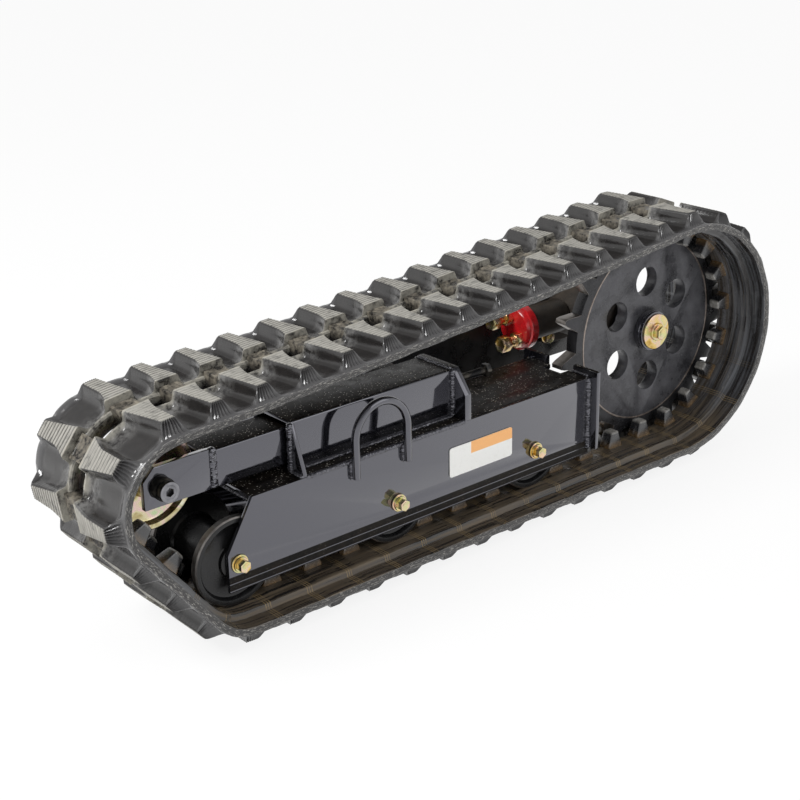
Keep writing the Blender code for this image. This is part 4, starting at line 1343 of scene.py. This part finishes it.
    def lay_round(self, link: Workpiece, name: str, finish: Finish, smooth: float) -> None:
        """Repeat one pitch, note where it lay flat, and bend the row round the wheels.

        Args:
            link: One pitch, laid flat.
            name: The finished piece's name.
            finish: Its finish.
            smooth: Edges sharper than this many degrees stay sharp.
        """
        low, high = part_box("rubber_track")
        middle = (low.y + high.y) / 2
        total = sum(part.length for part in self.stretches())
        link.repeat((self.pitch, 0, 0), self.links)
        mesh = link.body.data
        flat = np.zeros(len(mesh.vertices) * 3)
        mesh.vertices.foreach_get("co", flat)
        note = mesh.attributes.new("laid_flat", "FLOAT_VECTOR", "POINT")
        note.data.foreach_set("vector", flat.astype(np.float32))
        flat = flat.reshape(-1, 3)
        flat[:, 0] *= total / (self.pitch * self.links)
        made = self.bend(flat)
        made[:, 1] += middle
        mesh.vertices.foreach_set("co", made.ravel())
        mesh.update()
        link.grab()
        bpy.ops.mesh.remove_doubles(threshold=3e-6)
        link.body.name = name
        log.info("belt loop of %.4f m for %d pitches", total, self.links)
        link.finish(finish, smooth=smooth, replaces=["rubber_track"])


# Wheels


@dataclass
class DriveSprocket:
    """Toothed drive wheel with its hub, washer and bolt."""

    ring_radius: float = 0.160
    thickness: float = 0.022
    tooth_root: float = 0.176
    washer_radius: float = 0.0310
    spring_washer: float = 0.0030
    bolt_flats: float = 0.021

    def build(self) -> None:
        """Model the wheel with its polished teeth and rub rings, and the parts on its hub."""
        centre = centre_of("hub_washer")
        middle = centre_of("drive_sprocket").y
        wheel = Workpiece.copy_of("drive_sprocket_plate", "drive_sprocket", 0.0016, 2, 20)

        def polished(face: bmesh.types.BMFace) -> bool:
            """True for the teeth's edges and bevels, which the belt's windows polish."""
            spot = face.calc_center_median() - centre
            return math.hypot(spot.x, spot.z) > self.tooth_root and abs(face.normal.y) < 0.93

        wheel.pick(Pick.FACES, polished)
        wheel.paint_picked(TOOTH_EDGE)
        wheel.finish(SPROCKET_PAINT, smooth=30)
        for name, side in (("outer_rub_ring", -1), ("inner_rub_ring", 1)):
            # rise over the wheel's face, and distance from the ring's outer edge
            ring = [(side * rise, self.ring_radius + shift) for rise, shift in (
                (-0.001, -0.003), (0.0007, -0.0022), (0.0010, -0.0010), (0.0007, 0.0),
                (-0.001, 0.001), (-0.001, -0.003))]
            seat = (centre.x, middle + side * self.thickness / 2, centre.z)
            Workpiece.turned(name, seat, Axis.ACROSS, ring, 96).finish(RUB_MARK)
        self.hub(centre)

    def hub(self, centre: Vector) -> None:
        """Model the hub's barrel with its groove, the washers and the bolt.

        Args:
            centre: Centre of the washer.
        """
        Workpiece.copy_of("hub_barrel", "sprocket_hub", 0.0012).finish(BLACK_COAT)
        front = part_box("sprocket_hub")[0].y
        Workpiece.turned(
            "hub_groove_ring", (centre.x, front, centre.z), Axis.ACROSS,
            [(0.0055, 0.0340), (0.0055, 0.0350), (0.0066, 0.0356), (0.0077, 0.0350),
             (0.0077, 0.0340), (0.0055, 0.0340)], 64).finish(BLACK_COAT)
        low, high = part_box("hub_washer")
        half, radius = (high.y - low.y) / 2, self.washer_radius
        washer = Workpiece.turned(
            "hub_plate_washer", centre, Axis.ACROSS,
            [(half, 0.0), (half, radius - 0.0008), (half - 0.0006, radius),
             (-half + 0.0006, radius), (-half, radius - 0.0008), (-half, 0.0)], 72)
        washer.finish(ZINC, replaces=["hub_washer"])
        low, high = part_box("hub_bolt")
        deep = self.spring_washer
        Workpiece.turned(
            "hub_spring_washer", (centre.x, high.y, centre.z), Axis.ACROSS,
            [(0.0, 0.0), (0.0, 0.0148), (-0.0024, 0.0150), (-deep, 0.0144), (-deep, 0.0)],
            40).finish(ZINC)
        bolt = hex_bolt("hub_hex_bolt", (centre.x, high.y - deep, centre.z), Axis.ACROSS, -1,
                        self.bolt_flats, high.y - low.y - deep)
        bolt.finish(ZINC, replaces=["hub_bolt"])


@dataclass
class RoadRollers:
    """Three flanged rollers with their bolted axles."""

    count: int = 3
    radius: float = 0.066
    outer: float = 0.0608
    inner: float = 0.0465
    drum: float = 0.0345
    worn_rim: float = 0.0640
    axle_radius: float = 0.0125
    axle_length: float = 0.1234
    washer_seat: float = 0.0683
    washer_radius: float = 0.0135
    washer: float = 0.0025

    def roller_outline(self) -> Outline:
        """Work out the roller's outline from its bore round both flanges.

        Returns:
            The closed outline, as distance along the axle and radius.
        """
        outer, inner = self.outer, self.inner
        return mirrored([
            (outer - 0.0005, 0.0130), (outer - 0.0005, 0.0225), (outer - 0.0012, 0.0240),
            (outer - 0.0070, 0.0250), (outer - 0.0082, 0.0275), (outer - 0.0082, 0.0510),
            (outer - 0.0070, 0.0545), (outer - 0.0016, 0.0568), (outer - 0.0002, 0.0582),
            (outer, 0.0600), (outer - 0.0004, 0.0640), (outer - 0.0022, self.radius),
            (inner + 0.0030, self.radius), (inner + 0.0006, 0.0642), (inner, 0.0610),
            (inner, self.drum + 0.003), (inner - 0.003, self.drum)])

    def build(self) -> None:
        """Model one roller with worn rims and one axle, and copy both."""
        first = centre_of("road_roller_1")
        roller = Workpiece.turned("roller_1", first, Axis.ACROSS, self.roller_outline(), 84)

        def worn(face: bmesh.types.BMFace) -> bool:
            """True for the flanges' rims, which the belt rubs bright."""
            middle = face.calc_center_median() - first
            return math.hypot(middle.x, middle.z) > self.worn_rim

        roller.pick(Pick.FACES, worn)
        roller.paint_picked(ROLLER_RIM)
        self.lay_row(roller, "roller", "road_roller", ROLLER_STEEL)
        self.lay_row(self.axle(), "axle", "roller_axle", ZINC)

    def axle(self) -> Workpiece:
        """Model an axle with its washers and flanged heads.

        Returns:
            The axle.
        """
        centre = centre_of("roller_axle_1")
        pin = Workpiece.rod("axle_1", centre, Axis.ACROSS, self.axle_radius, self.axle_length, 40)
        radius, thick = self.washer_radius, self.washer
        for side in (-1, 1):
            face = centre.y + side * self.washer_seat
            washer = Workpiece.turned(
                "axle_washer", (centre.x, face, centre.z), Axis.ACROSS,
                [(0.0, 0.0), (0.0, 0.0130), (side * 0.0006, radius), (side * 0.0020, radius),
                 (side * thick, 0.0130), (side * thick, 0.0)], 40)
            bolt = hex_bolt("axle_bolt", (centre.x, face + side * thick, centre.z),
                            Axis.ACROSS, side, 0.016, 0.011, 0.0115, 0.0025)
            pin.add(washer, bolt)
        return pin

    def lay_row(self, model: Workpiece, name: str, node: str, finish: Finish) -> None:
        """Copy a piece to each numbered node, and finish the row.

        Args:
            model: The first piece.
            name: The pieces' name, without its number.
            node: The CAD nodes' name, without its number.
            finish: Their finish.
        """
        first = centre_of(f"{node}_1")
        row = [model] + [model.copy(f"{name}_{number}", centre_of(f"{node}_{number}") - first)
                         for number in range(2, self.count + 1)]
        for number, piece in enumerate(row, 1):
            piece.finish(finish, replaces=[f"{node}_{number}"])


@dataclass
class TensionIdler:
    """Front idler in its sliding fork, with its pin and the adjuster screw."""

    rim: float = 0.0714
    half_width: float = 0.0165
    pin_end: float = 0.108
    pin_nut: float = 0.012
    thread_pitch: float = 0.0025
    thread_root: float = 0.0053
    thread_crest: float = 0.0060
    screw_head: float = 0.009

    def build(self) -> None:
        """Model the wheel, fork, pin and screw."""
        self.wheel()
        self.fork()
        self.pin()
        self.screw()

    def wheel(self) -> None:
        """Turn the dished wheel."""
        low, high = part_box("idler_wheel")
        hub, half, rim = (high.y - low.y) / 2, self.half_width, self.rim
        outline = mirrored([
            (hub, 0.0103), (hub, 0.0210), (hub - 0.0010, 0.0220), (0.0075, 0.0232),
            (0.0042, 0.0262), (0.0040, 0.0560), (0.0062, 0.0606), (half - 0.0016, 0.0622),
            (half - 0.0003, 0.0632), (half, 0.0650), (half, rim - 0.0022),
            (half - 0.0022, rim)])
        wheel = Workpiece.turned("idler_disc", centre_of("idler_wheel"), Axis.ACROSS, outline, 96)
        wheel.finish(PALE_ZINC, IDLER_SLIDE, replaces=["idler_wheel"])

    def fork(self) -> None:
        """Round the fork's edges and lay the welds that hold its cheeks."""
        tube = Workpiece.copy_of("idler_fork_tube", "fork_tube", 0.0035, 3, 40)
        tube.dust_and_shade_top()
        tube.finish(BLACK_COAT, IDLER_SLIDE)
        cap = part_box("fork_tube")[0].z + 0.0575
        for name, node, side in (("outer_fork_cheek", "fork_cheek_outer", -1),
                                 ("inner_fork_cheek", "fork_cheek_inner", 1)):
            Workpiece.copy_of(name, node, 0.0012).finish(BLACK_COAT, IDLER_SLIDE)
            low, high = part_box(node)
            face = low.y + 0.001 if side > 0 else high.y - 0.001
            lap = low.y + 0.0015 if side < 0 else high.y - 0.0015
            x = high.x + 0.0008
            weld_up([
                (name + "_weld", (x, face, low.z + 0.001), (x, face, high.z - 0.006), 0.0062,
                 11 + side),
                (name + "_lap", (x - 0.0055, lap, low.z + 0.004),
                 (x - 0.0055, lap, high.z - 0.001), 0.0048, 31 + side),
                (name + "_cap", (x - 0.018, face, cap), (x, face, cap), 0.0042, 21 + side),
            ], IDLER_SLIDE)

    def pin(self) -> None:
        """Model the pin with its long collar, socket head and inboard nut."""
        low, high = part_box("idler_axle")
        centre = centre_of("idler_wheel")
        pin = Workpiece.turned(
            "idler_pin", (centre.x, low.y, centre.z), Axis.ACROSS,
            [(0.0098, 0.0), (0.0098, 0.0136), (0.0108, 0.0136), (0.0108, 0.0156),
             (0.0118, 0.0162), (0.0250, 0.0162), (0.0258, 0.0156), (0.0258, 0.0100),
             (self.pin_end, 0.0100), (self.pin_end, 0.0)], 48)
        head = Workpiece.rod("socket_head", (centre.x, low.y + 0.0052, centre.z), Axis.ACROSS,
                             0.0146, 0.0104, 48)
        head.pick_facing(NEAR_SIDE)
        head.inset(0.0044)
        head.inset(0.0008, -0.0006)
        head.soften(0.0009, 2, 40)
        hole = Workpiece.rod("socket", (centre.x, low.y + 0.002, centre.z), Axis.ACROSS,
                             0.0066, 0.011, 6)
        head.modify("BOOLEAN", operation="DIFFERENCE", solver="EXACT", object=hole.body)
        bpy.data.objects.remove(hole.body, do_unlink=True)
        head.pick_facing(NEAR_SIDE, 0.6)
        head.paint_picked(SOCKET_FACE)
        nut = hex_bolt("idler_nut", (centre.x, high.y - self.pin_nut, centre.z), Axis.ACROSS, 1,
                       0.024, self.pin_nut)
        pin.add(head, nut)
        pin.finish(OXIDE, IDLER_SLIDE, replaces=["idler_axle"])

    def screw(self) -> None:
        """Model the adjuster screw with its thread and hexagon head."""
        low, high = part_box("adjuster_screw")
        middle = centre_of("adjuster_screw")
        shank = high.x - low.x - self.screw_head
        turn = self.thread_pitch
        outline = [(0.0, 0.0), (0.0, 0.0054)]
        for index in range(int(shank / turn) - 1):
            a = (index + 0.5) * turn
            outline += [(a, self.thread_root), (a + turn / 2, self.thread_crest)]
        outline += [(shank, self.thread_root), (shank, 0.0)]
        screw = Workpiece.turned("adjuster", (low.x, middle.y, middle.z), Axis.ALONG, outline, 20)
        screw.add(hex_bolt("adjuster_head", (high.x - self.screw_head, middle.y, middle.z),
                           Axis.ALONG, 1, 0.019, self.screw_head))
        screw.finish(OXIDE, IDLER_SLIDE, replaces=["adjuster_screw"])


# Frame


@dataclass
class RollerFrame:
    """Welded frame over the rollers, with the beam, gussets, loop, sign and lock nut."""

    plates: tuple[tuple[str, str], ...] = (
        ("outer_panel", "outer_side_panel"), ("inner_panel", "inner_side_panel"),
        ("top_plate", "frame_top_plate"), ("outer_rear_plate", "outer_end_plate"),
        ("inner_rear_plate", "inner_end_plate"),
        ("outer_front_gusset", "front_gusset_outer"),
        ("inner_front_gusset", "front_gusset_inner"), ("rear_gusset_plate", "rear_gusset"),
    )
    edge: float = 0.0014
    strip_heights: tuple[float, ...] = (0.0030, 0.0125, 0.0138, 0.024)
    band_x: float = 0.335
    band_z: float = 0.60

    def build(self) -> None:
        """Model the plates, beam, welds, loop, sign and nut."""
        for name, node in self.plates:
            plate = Workpiece.copy_of(name, node, self.edge)
            plate.dust_and_shade_top()
            if "side_panel" in node:
                self.dull_foot_strips(plate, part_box(node)[0].z)
            plate.finish(BLACK_COAT)
        beam = Workpiece.copy_of("beam_tube", "main_beam", 0.0040, 3, 40)
        beam.dust_and_shade_top()
        beam.finish(BLACK_COAT)
        self.welds()
        self.loop()
        self.sign()
        self.nut()

    def dull_foot_strips(self, panel: Workpiece, floor: float) -> None:
        """Dull and darken the panel's foot in two strips with a bare line between, by the belt's
        reach.

        Args:
            panel: The panel.
            floor: Height of its lower edge.
        """
        levels = [floor + scuff for scuff in self.strip_heights]
        for level in levels:
            panel.cut((0, 0, level), UP)

        def scuffed(face: bmesh.types.BMFace) -> bool:
            """Tell whether a face is a side face inside the two strips.

            Args:
                face: A face of the panel.

            Returns:
                True for such a face.
            """
            z = face.calc_center_median().z
            return (abs(face.normal.y) > 0.9
                    and (levels[0] < z < levels[1] or levels[2] < z < levels[3]))

        panel.pick(Pick.FACES, scuffed)
        # the two strips get a duller, darker copy of the coat
        panel.paint_picked(FOOT_STRIP_COAT)

    def welds(self) -> None:
        """Lay the weld beads along the seams that show."""
        panel, panel_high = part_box("outer_side_panel")
        inner_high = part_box("inner_side_panel")[1]
        beam, beam_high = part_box("main_beam")
        front, front_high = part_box("front_gusset_outer")
        rear_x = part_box("rear_gusset")[0].x
        end, end_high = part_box("outer_end_plate")
        top = panel_high.z
        seams = []
        for face, way in ((panel.y, 1), (inner_high.y, -1)):
            y, x = face + way * 0.0022, end.x - 0.0025
            # along the panel's upper edge, then down its rear edge against the end plate
            seams += [((front_high.x, y, top - 0.0008), (rear_x, y, top - 0.0008), 0.0036),
                      ((x, face + way * 0.001, panel.z + 0.012),
                       (x, face + way * 0.001, top - 0.002), 0.0054)]
        for face, way in ((beam.y, -1), (beam_high.y, 1)):
            panel_y = panel.y + 0.003 if way < 0 else inner_high.y - 0.003
            # beam's foot, its corners with the rear and front gussets, and the front edge
            seams += [((beam.x + 0.006, face, top + 0.001),
                       (beam_high.x - 0.001, face, top + 0.001), 0.0034),
                      ((rear_x - 0.001, face, top + 0.004),
                       (rear_x - 0.001, face, beam_high.z - 0.003), 0.0050),
                      ((beam.x - 0.001, face, top + 0.003),
                       (beam.x - 0.001, face, beam_high.z - 0.004), 0.0046),
                      ((front.x - 0.001, face + way * 0.002, top + 0.001),
                       (front.x - 0.001, panel_y, top + 0.001), 0.0036)]
        # across the beam's rear edge, the end plate's foot and the frame's front edge
        seams += [((rear_x - 0.001, beam.y + 0.004, beam_high.z),
                   (rear_x - 0.001, beam_high.y - 0.004, beam_high.z), 0.0032),
                  ((end.x + 0.001, end.y + 0.022, top + 0.001),
                   (end.x + 0.001, end_high.y - 0.002, top + 0.001), 0.0036),
                  ((panel.x + 0.046, panel.y + 0.008, top - 0.009),
                   (panel.x + 0.046, inner_high.y - 0.008, top - 0.009), 0.0030)]
        weld_up([(f"frame_weld_{number}", *seam, number) for number, seam in enumerate(seams, 1)])

    def loop(self) -> None:
        """Bend the tie-down loop from a round bar and weld its legs on."""
        low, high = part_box("tie_down_loop")
        middle = centre_of("tie_down_loop")
        radius = (high.y - low.y) / 2
        bend = (high.x - low.x) / 2 - radius
        bend_z = high.z - radius - bend
        Workpiece.clear_bench()
        bpy.ops.mesh.primitive_circle_add(vertices=24, radius=radius, fill_type="NGON",
                                          location=(middle.x - bend, middle.y, low.z))
        bar = Workpiece("tie_down_bar")
        bar.grab()
        bar.inset(0.001)
        bar.grab()
        bar.push((0, 0, bend_z - low.z))
        bpy.ops.mesh.spin(steps=28, angle=math.pi, center=(middle.x, middle.y, bend_z),
                          axis=NEAR_SIDE)
        bar.push((0, 0, low.z - bend_z))
        bar.tidy()
        bar.soften(0.0008, 2, 50)
        bar.finish(BLACK_COAT, smooth=45, replaces=["tie_down_loop"])
        seams = []
        for side in (-1, 1):
            for edge in (-1, 1):
                x, y = middle.x + side * bend + edge * radius * 0.82, high.y - 0.0012
                seams.append((f"loop_weld_{len(seams) + 1}", (x, y, low.z + 0.001),
                              (x, y, low.z + 0.0235), 0.0040, 40 + len(seams)))
        weld_up(seams)

    def sign(self) -> None:
        """Model the blank sign: a thin plate with round corners and an orange band."""
        low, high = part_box("sign_plate")
        sign = Workpiece.block("sign", low, high)
        sign.pick(Pick.EDGES, lambda e: abs(e.verts[0].co.y - e.verts[1].co.y) > 0.0005)
        bpy.ops.mesh.bevel(offset=0.0045, segments=5)
        left = low.x + (high.x - low.x) * self.band_x
        floor = low.z + (high.z - low.z) * self.band_z
        sign.cut((left, 0, 0), (1, 0, 0))
        sign.cut((0, 0, floor), UP)

        def in_band(face: bmesh.types.BMFace) -> bool:
            """True for the front faces in the upper rear band."""
            middle = face.calc_center_median()
            return middle.y < low.y + 1e-4 and middle.x > left and middle.z > floor

        sign.pick(Pick.FACES, in_band)
        sign.paint_picked(ORANGE_VINYL)
        sign.finish(WHITE_VINYL, replaces=["sign_plate"])

    def nut(self) -> None:
        """Model the lock nut round the adjuster screw."""
        low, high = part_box("lock_nut")
        middle = centre_of("lock_nut")
        nut = hex_bolt("adjuster_lock_nut", (low.x, middle.y, middle.z), Axis.ALONG, 1, 0.022,
                       high.x - low.x)
        nut.finish(OXIDE, replaces=["lock_nut"])


# Motor and mounting plate


@dataclass
class DriveMotor:
    """Hydraulic motor with its bearing housing, flange, port block and fittings."""

    bolt_spacing: float = 0.1000
    fitting_flats: float = 0.024
    swivel_flats: float = 0.0255
    stem: float = 0.0270

    def build(self) -> None:
        """Model the motor's castings, port block, bolts and fittings."""
        for name, node, finish, edge in (
                ("bearing_housing", "motor_bearing_housing", DUSTY_STEEL, 0.0030),
                ("mounting_flange", "motor_flange", DUSTY_STEEL, 0.0020),
                ("port_neck_casting", "port_neck", DUSTY_STEEL, 0.0030),
                ("motor_body", "drive_motor", RED, 0.0030)):
            Workpiece.copy_of(name, node, edge, 3, 35).finish(finish)
        self.port_block()
        self.flange_bolts()
        self.fittings()

    def port_block(self) -> None:
        """Turn the red port block with its stepped, chamfered face."""
        low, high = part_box("port_block")
        middle = centre_of("port_block")
        radius = (high.z - low.z) / 2
        depth = high.x - low.x
        block = Workpiece.turned(
            "red_port_block", (low.x, middle.y, middle.z), Axis.ALONG,
            [(0.0, 0.0), (0.0, radius - 0.0085), (0.0012, radius - 0.0070),
             (0.0045, radius - 0.0045), (0.0060, radius - 0.0040), (0.0070, radius - 0.0008),
             (0.0082, radius), (depth - 0.0015, radius), (depth, radius - 0.0015), (depth, 0.0)],
            64)
        block.finish(RED, replaces=["port_block"])

    def flange_bolts(self) -> None:
        """Model one flange bolt and copy it to the flange's corners."""
        middle, spacing = centre_of("motor_flange"), self.bolt_spacing
        bolts = hex_bolt("flange_bolts", (middle.x - spacing / 2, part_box("motor_flange")[0].y,
                                          middle.z - spacing / 2),
                         Axis.ACROSS, -1, 0.017, 0.010, 0.0115, 0.0025)
        bolts.scatter([(spacing, 0, 0), (0, 0, spacing), (spacing, 0, spacing)])
        bolts.finish(ZINC)

    def fittings(self) -> None:
        """Model a hose fitting of hexagon, tube, collar and swivel nut, and copy it."""
        low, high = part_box("port_fitting_outer")
        middle = centre_of("port_fitting_outer")
        fitting = hex_bolt("outer_hose_fitting", (high.x, middle.y, middle.z), Axis.ALONG, -1,
                           self.fitting_flats, 0.013)
        tube = Workpiece.turned(
            "stem", (high.x, middle.y, middle.z), Axis.ALONG,
            [(-0.012, 0.0), (-0.012, 0.0098), (-0.0145, 0.0098), (-0.0150, 0.0085),
             (-0.0275, 0.0085), (-0.0275, 0.0)], 36)
        swivel = hex_bolt("swivel", (high.x - self.stem, middle.y, middle.z), Axis.ALONG, -1,
                          self.swivel_flats, high.x - low.x - self.stem)
        fitting.add(tube, swivel)
        twin = fitting.copy("inner_hose_fitting", centre_of("port_fitting_inner") - middle)
        fitting.finish(ZINC, replaces=["port_fitting_outer"])
        twin.finish(ZINC, replaces=["port_fitting_inner"])


@dataclass
class MountingPlate:
    """Inboard plate with the arms that carry the beam."""

    bolts: tuple[tuple[float, float], ...] = ((-0.29, 0.13), (-0.29, 0.26), (0.10, 0.13),
                                              (0.10, 0.26))

    def build(self) -> None:
        """Model the plate, the arms with their welds, and the plate's bolts."""
        Workpiece.copy_of("chassis_plate", "mounting_plate", 0.0012).finish(SATIN_COAT)
        beads = []
        for name, node in (("front_arm_tube", "front_arm"), ("rear_arm_tube", "rear_arm")):
            arm = Workpiece.copy_of(name, node, 0.0035, 3, 40)
            arm.dust_and_shade_top()
            arm.finish(BLACK_COAT)
            low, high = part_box(node)
            for y in (low.y + 0.001, high.y - 0.001):
                for start, end in (((low.x, y, high.z), (high.x, y, high.z)),
                                   ((low.x, y, low.z), (low.x, y, high.z)),
                                   ((high.x, y, low.z), (high.x, y, high.z))):
                    beads.append(weld_bead(f"arm_weld_{len(beads) + 1}", start, end, 0.0042,
                                           60 + len(beads)))
        beads[0].add(*beads[1:])
        beads[0].finish(WELD_COAT)
        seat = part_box("mounting_plate")[0].y
        (x0, z0), *others = self.bolts
        heads = hex_bolt("chassis_bolts", (x0, seat, z0), Axis.ACROSS, -1, 0.019, 0.011, 0.014,
                         0.0028)
        heads.scatter([(x - x0, 0, z - z0) for x, z in others])
        heads.finish(ZINC)


# Studio

SEEN_RAYS = ("Is Camera Ray", "Is Glossy Ray", "Is Transmission Ray")


@dataclass
class Studio:
    """Pale floor, soft lights and the camera."""

    focal: float = 1528.39
    image: int = 800
    sensor: float = 36.0
    eye: tuple[float, float, float] = (-1.4791, -1.7196, 1.0780)
    azimuth: float = 0.697711303
    elevation: float = 0.37495768
    roll: float = -0.0208303187
    seen_floor: float = 0.86

    def hang(self, name: str, data: bpy.types.ID, place: Point, turn: Matrix) -> bpy.types.Object:
        """Put a camera or light in the scene.

        Args:
            name: Its name.
            data: The camera or light.
            place: Where it is.
            turn: Its rotation.

        Returns:
            The object.
        """
        holder = bpy.data.objects.new(name, data)
        bpy.context.scene.collection.objects.link(holder)
        holder.matrix_world = Matrix.Translation(place) @ turn.to_4x4()
        return holder

    def camera(self) -> None:
        """Set the camera up at the photograph's place."""
        view = bpy.data.cameras.new("camera")
        view.sensor_width = self.sensor
        view.lens = self.focal / self.image * self.sensor
        view.clip_start, view.clip_end = 0.05, 60.0
        sin_a, cos_a = math.sin(self.azimuth), math.cos(self.azimuth)
        sin_e, cos_e = math.sin(self.elevation), math.cos(self.elevation)
        ahead = Vector((sin_a * cos_e, cos_a * cos_e, -sin_e))
        right = Vector((cos_a, -sin_a, 0))
        up = right.cross(ahead)
        cos_r, sin_r = math.cos(self.roll), math.sin(self.roll)
        right, up = right * cos_r + up * sin_r, up * cos_r - right * sin_r
        turn = Matrix((right, up, -ahead)).transposed()
        bpy.context.scene.camera = self.hang("camera", view, self.eye, turn)

    def lamp(self, name: str, place: Point, size: float, power: float) -> None:
        """Hang a square soft light that points at the unit.

        Args:
            name: The light's name.
            place: Where it hangs.
            size: Width of its face.
            power: Power in watts.
        """
        light = bpy.data.lights.new(name, "AREA")
        light.shape, light.size, light.energy = "SQUARE", size, power
        aim = Vector((0, 0, 0.2)) - Vector(place)
        self.hang(name, light, place, aim.to_track_quat("-Z", "Y").to_matrix())

    def floor(self) -> None:
        """Lay the pale floor. The camera sees part of it as plain white, under a soft shadow."""
        Workpiece.clear_bench()
        bpy.ops.mesh.primitive_plane_add(size=40, location=(0, 0, -0.0003))
        ground = Workpiece("floor").body
        paper = bpy.data.materials.new("pale_studio_floor")
        paper.use_nodes = True
        tree = paper.node_tree
        add = partial(lay, tree)
        shader = tree.nodes["Principled BSDF"]
        fill(tree, shader, {"Base Color": "#f2f2f2", "Roughness": 0.9,
                            "Specular IOR Level": 0.0})
        camera, glossy, glass = (add("LightPath", out=ray) for ray in SEEN_RAYS)
        seen = add("Math", camera, glossy, operation="MAXIMUM")
        seen = add("Math", seen, glass, operation="MAXIMUM")
        seen = add("Math", seen, self.seen_floor, operation="MULTIPLY")
        mixed = add("MixShader", seen, shader.outputs[0], add("Emission", Strength=1.0))
        fill(tree, tree.nodes["Material Output"], {"Surface": mixed})
        ground.data.materials.append(paper)

    def sky(self) -> None:
        """Fill the world: white where it is seen or mirrored, dimmer as a light."""
        world = bpy.context.scene.world or bpy.data.worlds.new("studio_sky")
        bpy.context.scene.world = world
        world.use_nodes = True
        world.node_tree.nodes.clear()
        add = partial(lay, world.node_tree)
        camera, glossy, glass = (add("LightPath", out=ray) for ray in SEEN_RAYS)
        # gloss sees a pale horizon under a dimmer ceiling
        height = add("SeparateXYZ", add("TexCoord", out="Generated"), out=2)
        ceiling = add("MapRange", height, 0.15, 0.65, 1.0, 0.34)
        plain = add("Math", camera, glass, operation="MAXIMUM")
        power = add("MapRange", plain, 0.0, 1.0, 0.75, 1.0)
        add("OutputWorld", add("Background", "#ffffff", add("MixRGB", glossy, power, ceiling)))

    def build(self) -> None:
        """Set up the camera, floor, sky and lamps."""
        self.camera()
        self.floor()
        self.sky()
        self.lamp("key_light", (-2.6, 0.4, 2.8), 1.3, 95)
        self.lamp("fill_light", (1.6, -3.2, 2.4), 2.6, 25)
        bpy.context.scene.view_settings.view_transform = "Standard"


def main() -> None:
    """Build every group in order, then note the sizes."""
    logging.basicConfig(level=logging.INFO, format="%(message)s")
    for group in (TrackBelt(), DriveSprocket(), RoadRollers(), TensionIdler(), RollerFrame(),
                  DriveMotor(), MountingPlate(), Studio()):
        log.info("building %s", type(group).__name__)
        group.build()
    Workpiece.clear_bench()


if __name__ == "__main__":
    main()
